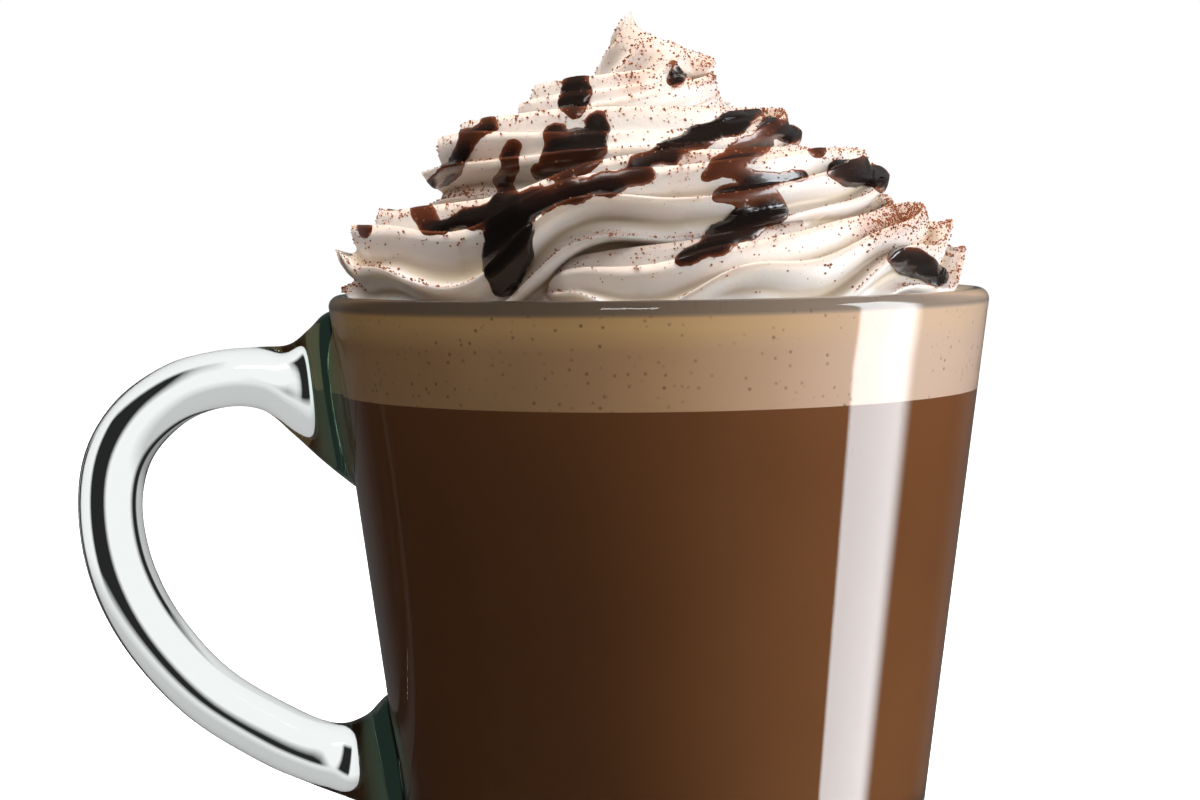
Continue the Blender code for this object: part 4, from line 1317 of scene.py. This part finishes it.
# %% Masks on the direction of a ray
WALL_SEEN = 1.0                  # the wall behind the mug, seen by the camera
WALL_MIRRORED = 0.10             # the same wall as a reflection, where the glass is seen edge on
WALL_LIGHT = (1.03, 0.62)        # the wall through the glass, below and above the horizon
WALL_HORIZON = (-0.02, 0.15)     # sine of the elevation where the one turns into the other
WALL_END = (0.70, 0.78)          # cosine of the bearing where the wall ends
WALL_MIRROR_END = (0.62, 0.80)
SIDE_SEEN = 0.6                  # the pale room at each side, past the wall's dark ends
SIDE_START, SIDE_END = (0.62, 0.56), (-0.3, -0.7)
GROUND_SEEN = 0.85
GROUND_START = (-0.45, -0.58)    # sine of the elevation
ROOM_SEEN = 0.02
FILL = (0.125, 0.10, 0.08)
CARD_SIDE = (-0.12, 0.25)        # sine of the card's left and right bearing
CARD_LEVEL = (-0.46, 0.00)       # and of its lower and upper edge
SOFT_EDGE = 0.035


def between(nodes, value, low, high):
    """Two masks whose product is 1 between the values, with soft edges, and 0 outside them."""
    return (mask(nodes, value, low - SOFT_EDGE, low + SOFT_EDGE),
            mask(nodes, value, high + SOFT_EDGE, high - SOFT_EDGE))


def room_through_glass(nodes):
    """How bright the room is in each direction, through glass and as a reflection on it."""
    _, x, y, z = coordinates(nodes, "Generated")
    square = calculate(nodes, "POWER", z, 2.0)
    level = calculate(nodes, "SQRT", calculate(nodes, "SUBTRACT", 1.0, square))
    level = calculate(nodes, "MAXIMUM", level, 0.001)
    side = calculate(nodes, "DIVIDE", x, level)
    ahead = calculate(nodes, "DIVIDE", y, level)
    beside = product(nodes, mask(nodes, ahead, *SIDE_START),
                     mask(nodes, ahead, *SIDE_END, (SIDE_SEEN, 1.0)))
    behind = calculate(nodes, "MAXIMUM", mask(nodes, ahead, *WALL_END), beside)
    wall = product(nodes, behind, mask(nodes, z, *WALL_HORIZON, WALL_LIGHT))
    ground = mask(nodes, z, *GROUND_START, (ROOM_SEEN, GROUND_SEEN))
    room = calculate(nodes, "MAXIMUM", wall, ground)
    card = product(nodes, *between(nodes, side, *CARD_SIDE), *between(nodes, z, *CARD_LEVEL),
                   mask(nodes, y, 0.0, 0.1))
    clear = mask(nodes, card, 0.0, 1.0, (1.0, ROOM_SEEN))
    mirrored = mask(nodes, y, *WALL_MIRROR_END, (ROOM_SEEN, WALL_MIRRORED))
    return product(nodes, room, clear), mirrored


# %% The world
def make_world():
    """One background for each kind of ray, chosen by mixing them one after another."""
    world = bpy.data.worlds.new("studio")
    scene.world = world
    world.use_nodes = True
    nodes = world.node_tree.nodes
    nodes.clear()
    refracted, mirrored = room_through_glass(nodes)
    through, mirror, seen, fill = (
        add_node(nodes, "Background", {"Color": colour, "Strength": strength}).outputs["Background"]
        for colour, strength in (((1, 1, 1), refracted), ((1, 1, 1), mirrored), ((1, 1, 1), WALL_SEEN),
                                 (FILL, 1.0)))
    path = add_node(nodes, "LightPath").outputs
    glossy = calculate(nodes, "GREATER_THAN", path["Glossy Depth"], 0.5)
    matt = calculate(nodes, "GREATER_THAN", path["Diffuse Depth"], 0.5)
    shown = mirror
    for background, when in ((through, path["Is Transmission Ray"]), (mirror, glossy),
                             (seen, path["Is Camera Ray"]), (fill, matt)):
        shown = add_node(nodes, "MixShader", {"Fac": when, 1: shown, 2: background}).outputs["Shader"]
    set_inputs(nodes.new("ShaderNodeOutputWorld"), {"Surface": shown})


make_world()

# %% [markdown]
# ### Soft box and lamps
# The soft box could be an area lamp, but a lamp's glow is even and ends in a hard line. It is a
# plane that glows instead, so its glow can fade towards one side. The lamps stay out of the
# mirror, apart from the window, which leaves small lights on the rim and the syrup. The last lamp
# lights only the cream: its folds open up, and the drink below stays dark on that side.

# %% The tall soft box at the right
SOFT_BOX_X = 0.62
SOFT_BOX_Y = (-0.276, 0.074)
SOFT_BOX_Z = (-0.45, 0.55)
SOFT_BOX_GLOW = 11.8
SOFT_BOX_COLOUR = (0.90, 0.96, 1.0)
SOFT_BOX_FADE = (0.5, 0.22)      # as a share of its width, from its middle
SOFT_BOX_EDGE = (-0.5, -0.44)


def make_soft_box():
    """A glowing plane that fades over its right quarter and is a little soft at its left edge."""
    deselect_all()
    bpy.ops.mesh.primitive_plane_add(size=1, rotation=(0, -math.pi / 2, 0))
    box = bpy.context.object
    box.name = "soft_box"
    box.location = (SOFT_BOX_X, sum(SOFT_BOX_Y) / 2, sum(SOFT_BOX_Z) / 2)
    box.scale = (SOFT_BOX_Z[1] - SOFT_BOX_Z[0], SOFT_BOX_Y[1] - SOFT_BOX_Y[0], 1)
    material, nodes, shader = new_material("soft box glow")
    nodes.remove(shader)
    _, _, y, _ = coordinates(nodes)
    fade = mask(nodes, y, *SOFT_BOX_FADE, (0.0, SOFT_BOX_GLOW))
    fade.node.interpolation_type = "SMOOTHSTEP"
    glow = product(nodes, fade, mask(nodes, y, *SOFT_BOX_EDGE))
    emission = add_node(nodes, "Emission", {"Color": SOFT_BOX_COLOUR, "Strength": glow})
    set_inputs(nodes["Material Output"], {"Surface": emission.outputs["Emission"]})
    set_material(box, material)
    hide_from(box, "camera", "diffuse", "transmission", "shadow")


make_soft_box()


# %% The lamps
def add_lamp(name, place, aim, width, height, watts, colour=(1, 1, 1), mirrored=False):
    data = bpy.data.lights.new(name, "AREA")
    data.shape = "RECTANGLE"
    data.size = width
    data.size_y = height
    data.energy = watts
    data.color = colour
    lamp = bpy.data.objects.new(name, data)
    scene.collection.objects.link(lamp)
    lamp.location = place
    lamp.rotation_euler = (Vector(aim) - Vector(place)).to_track_quat("-Z", "Y").to_euler()
    lamp.visible_glossy = mirrored
    hide_from(lamp, "transmission", "camera")
    return lamp


MUG_MIDDLE = (0, 0, 0.07)
CREAM_MIDDLE = (0, 0, 0.10)
add_lamp("key lamp", (0.60, -0.18, 0.16), MUG_MIDDLE, 0.45, 0.5, 6.2)
add_lamp("top lamp", (-0.08, 0.03, 0.62), MUG_MIDDLE, 0.34, 0.34, 5.1, (1, 0.965, 0.925))
add_lamp("window", (-0.12, -0.55, 0.62), MUG_MIDDLE, 0.22, 0.16, 0.9, (1, 0.97, 0.93), mirrored=True)
cream_lamp = add_lamp("cream lamp", (-0.34, -0.06, 0.44), CREAM_MIDDLE, 0.20, 0.20, 0.75)
lit_by_it = bpy.data.collections.new("lit by the cream lamp")
for piece in (cream, syrup, powder):
    lit_by_it.objects.link(piece)
cream_lamp.light_linking.receiver_collection = lit_by_it

# %% [markdown]
# ## The camera
# It stands close in front of the mug, a little above the rim and a little to its left, looks
# slightly down, and is turned by less than a degree. The syrup was drawn as seen from there.

# %% The camera
PITCH = math.radians(4.62)
ROLL = math.radians(-0.81)
SENSOR = 36.0
LENS = 2045 / 1200 * SENSOR

camera_data = bpy.data.cameras.new("camera")
camera_data.sensor_width = SENSOR
camera_data.lens = LENS
camera_data.clip_start = 0.01
camera = bpy.data.objects.new("camera", camera_data)
scene.collection.objects.link(camera)
forward = Vector((0, math.cos(PITCH), -math.sin(PITCH)))
level_up = Vector((0, math.sin(PITCH), math.cos(PITCH)))
right = Vector((1, 0, 0)) * math.cos(ROLL) + level_up * math.sin(ROLL)
up = level_up * math.cos(ROLL) - Vector((1, 0, 0)) * math.sin(ROLL)
camera.matrix_world = Matrix.Translation(POUR_EYE) @ Matrix((right, up, -forward)).transposed().to_4x4()
scene.camera = camera
scene.view_settings.view_transform = "Standard"
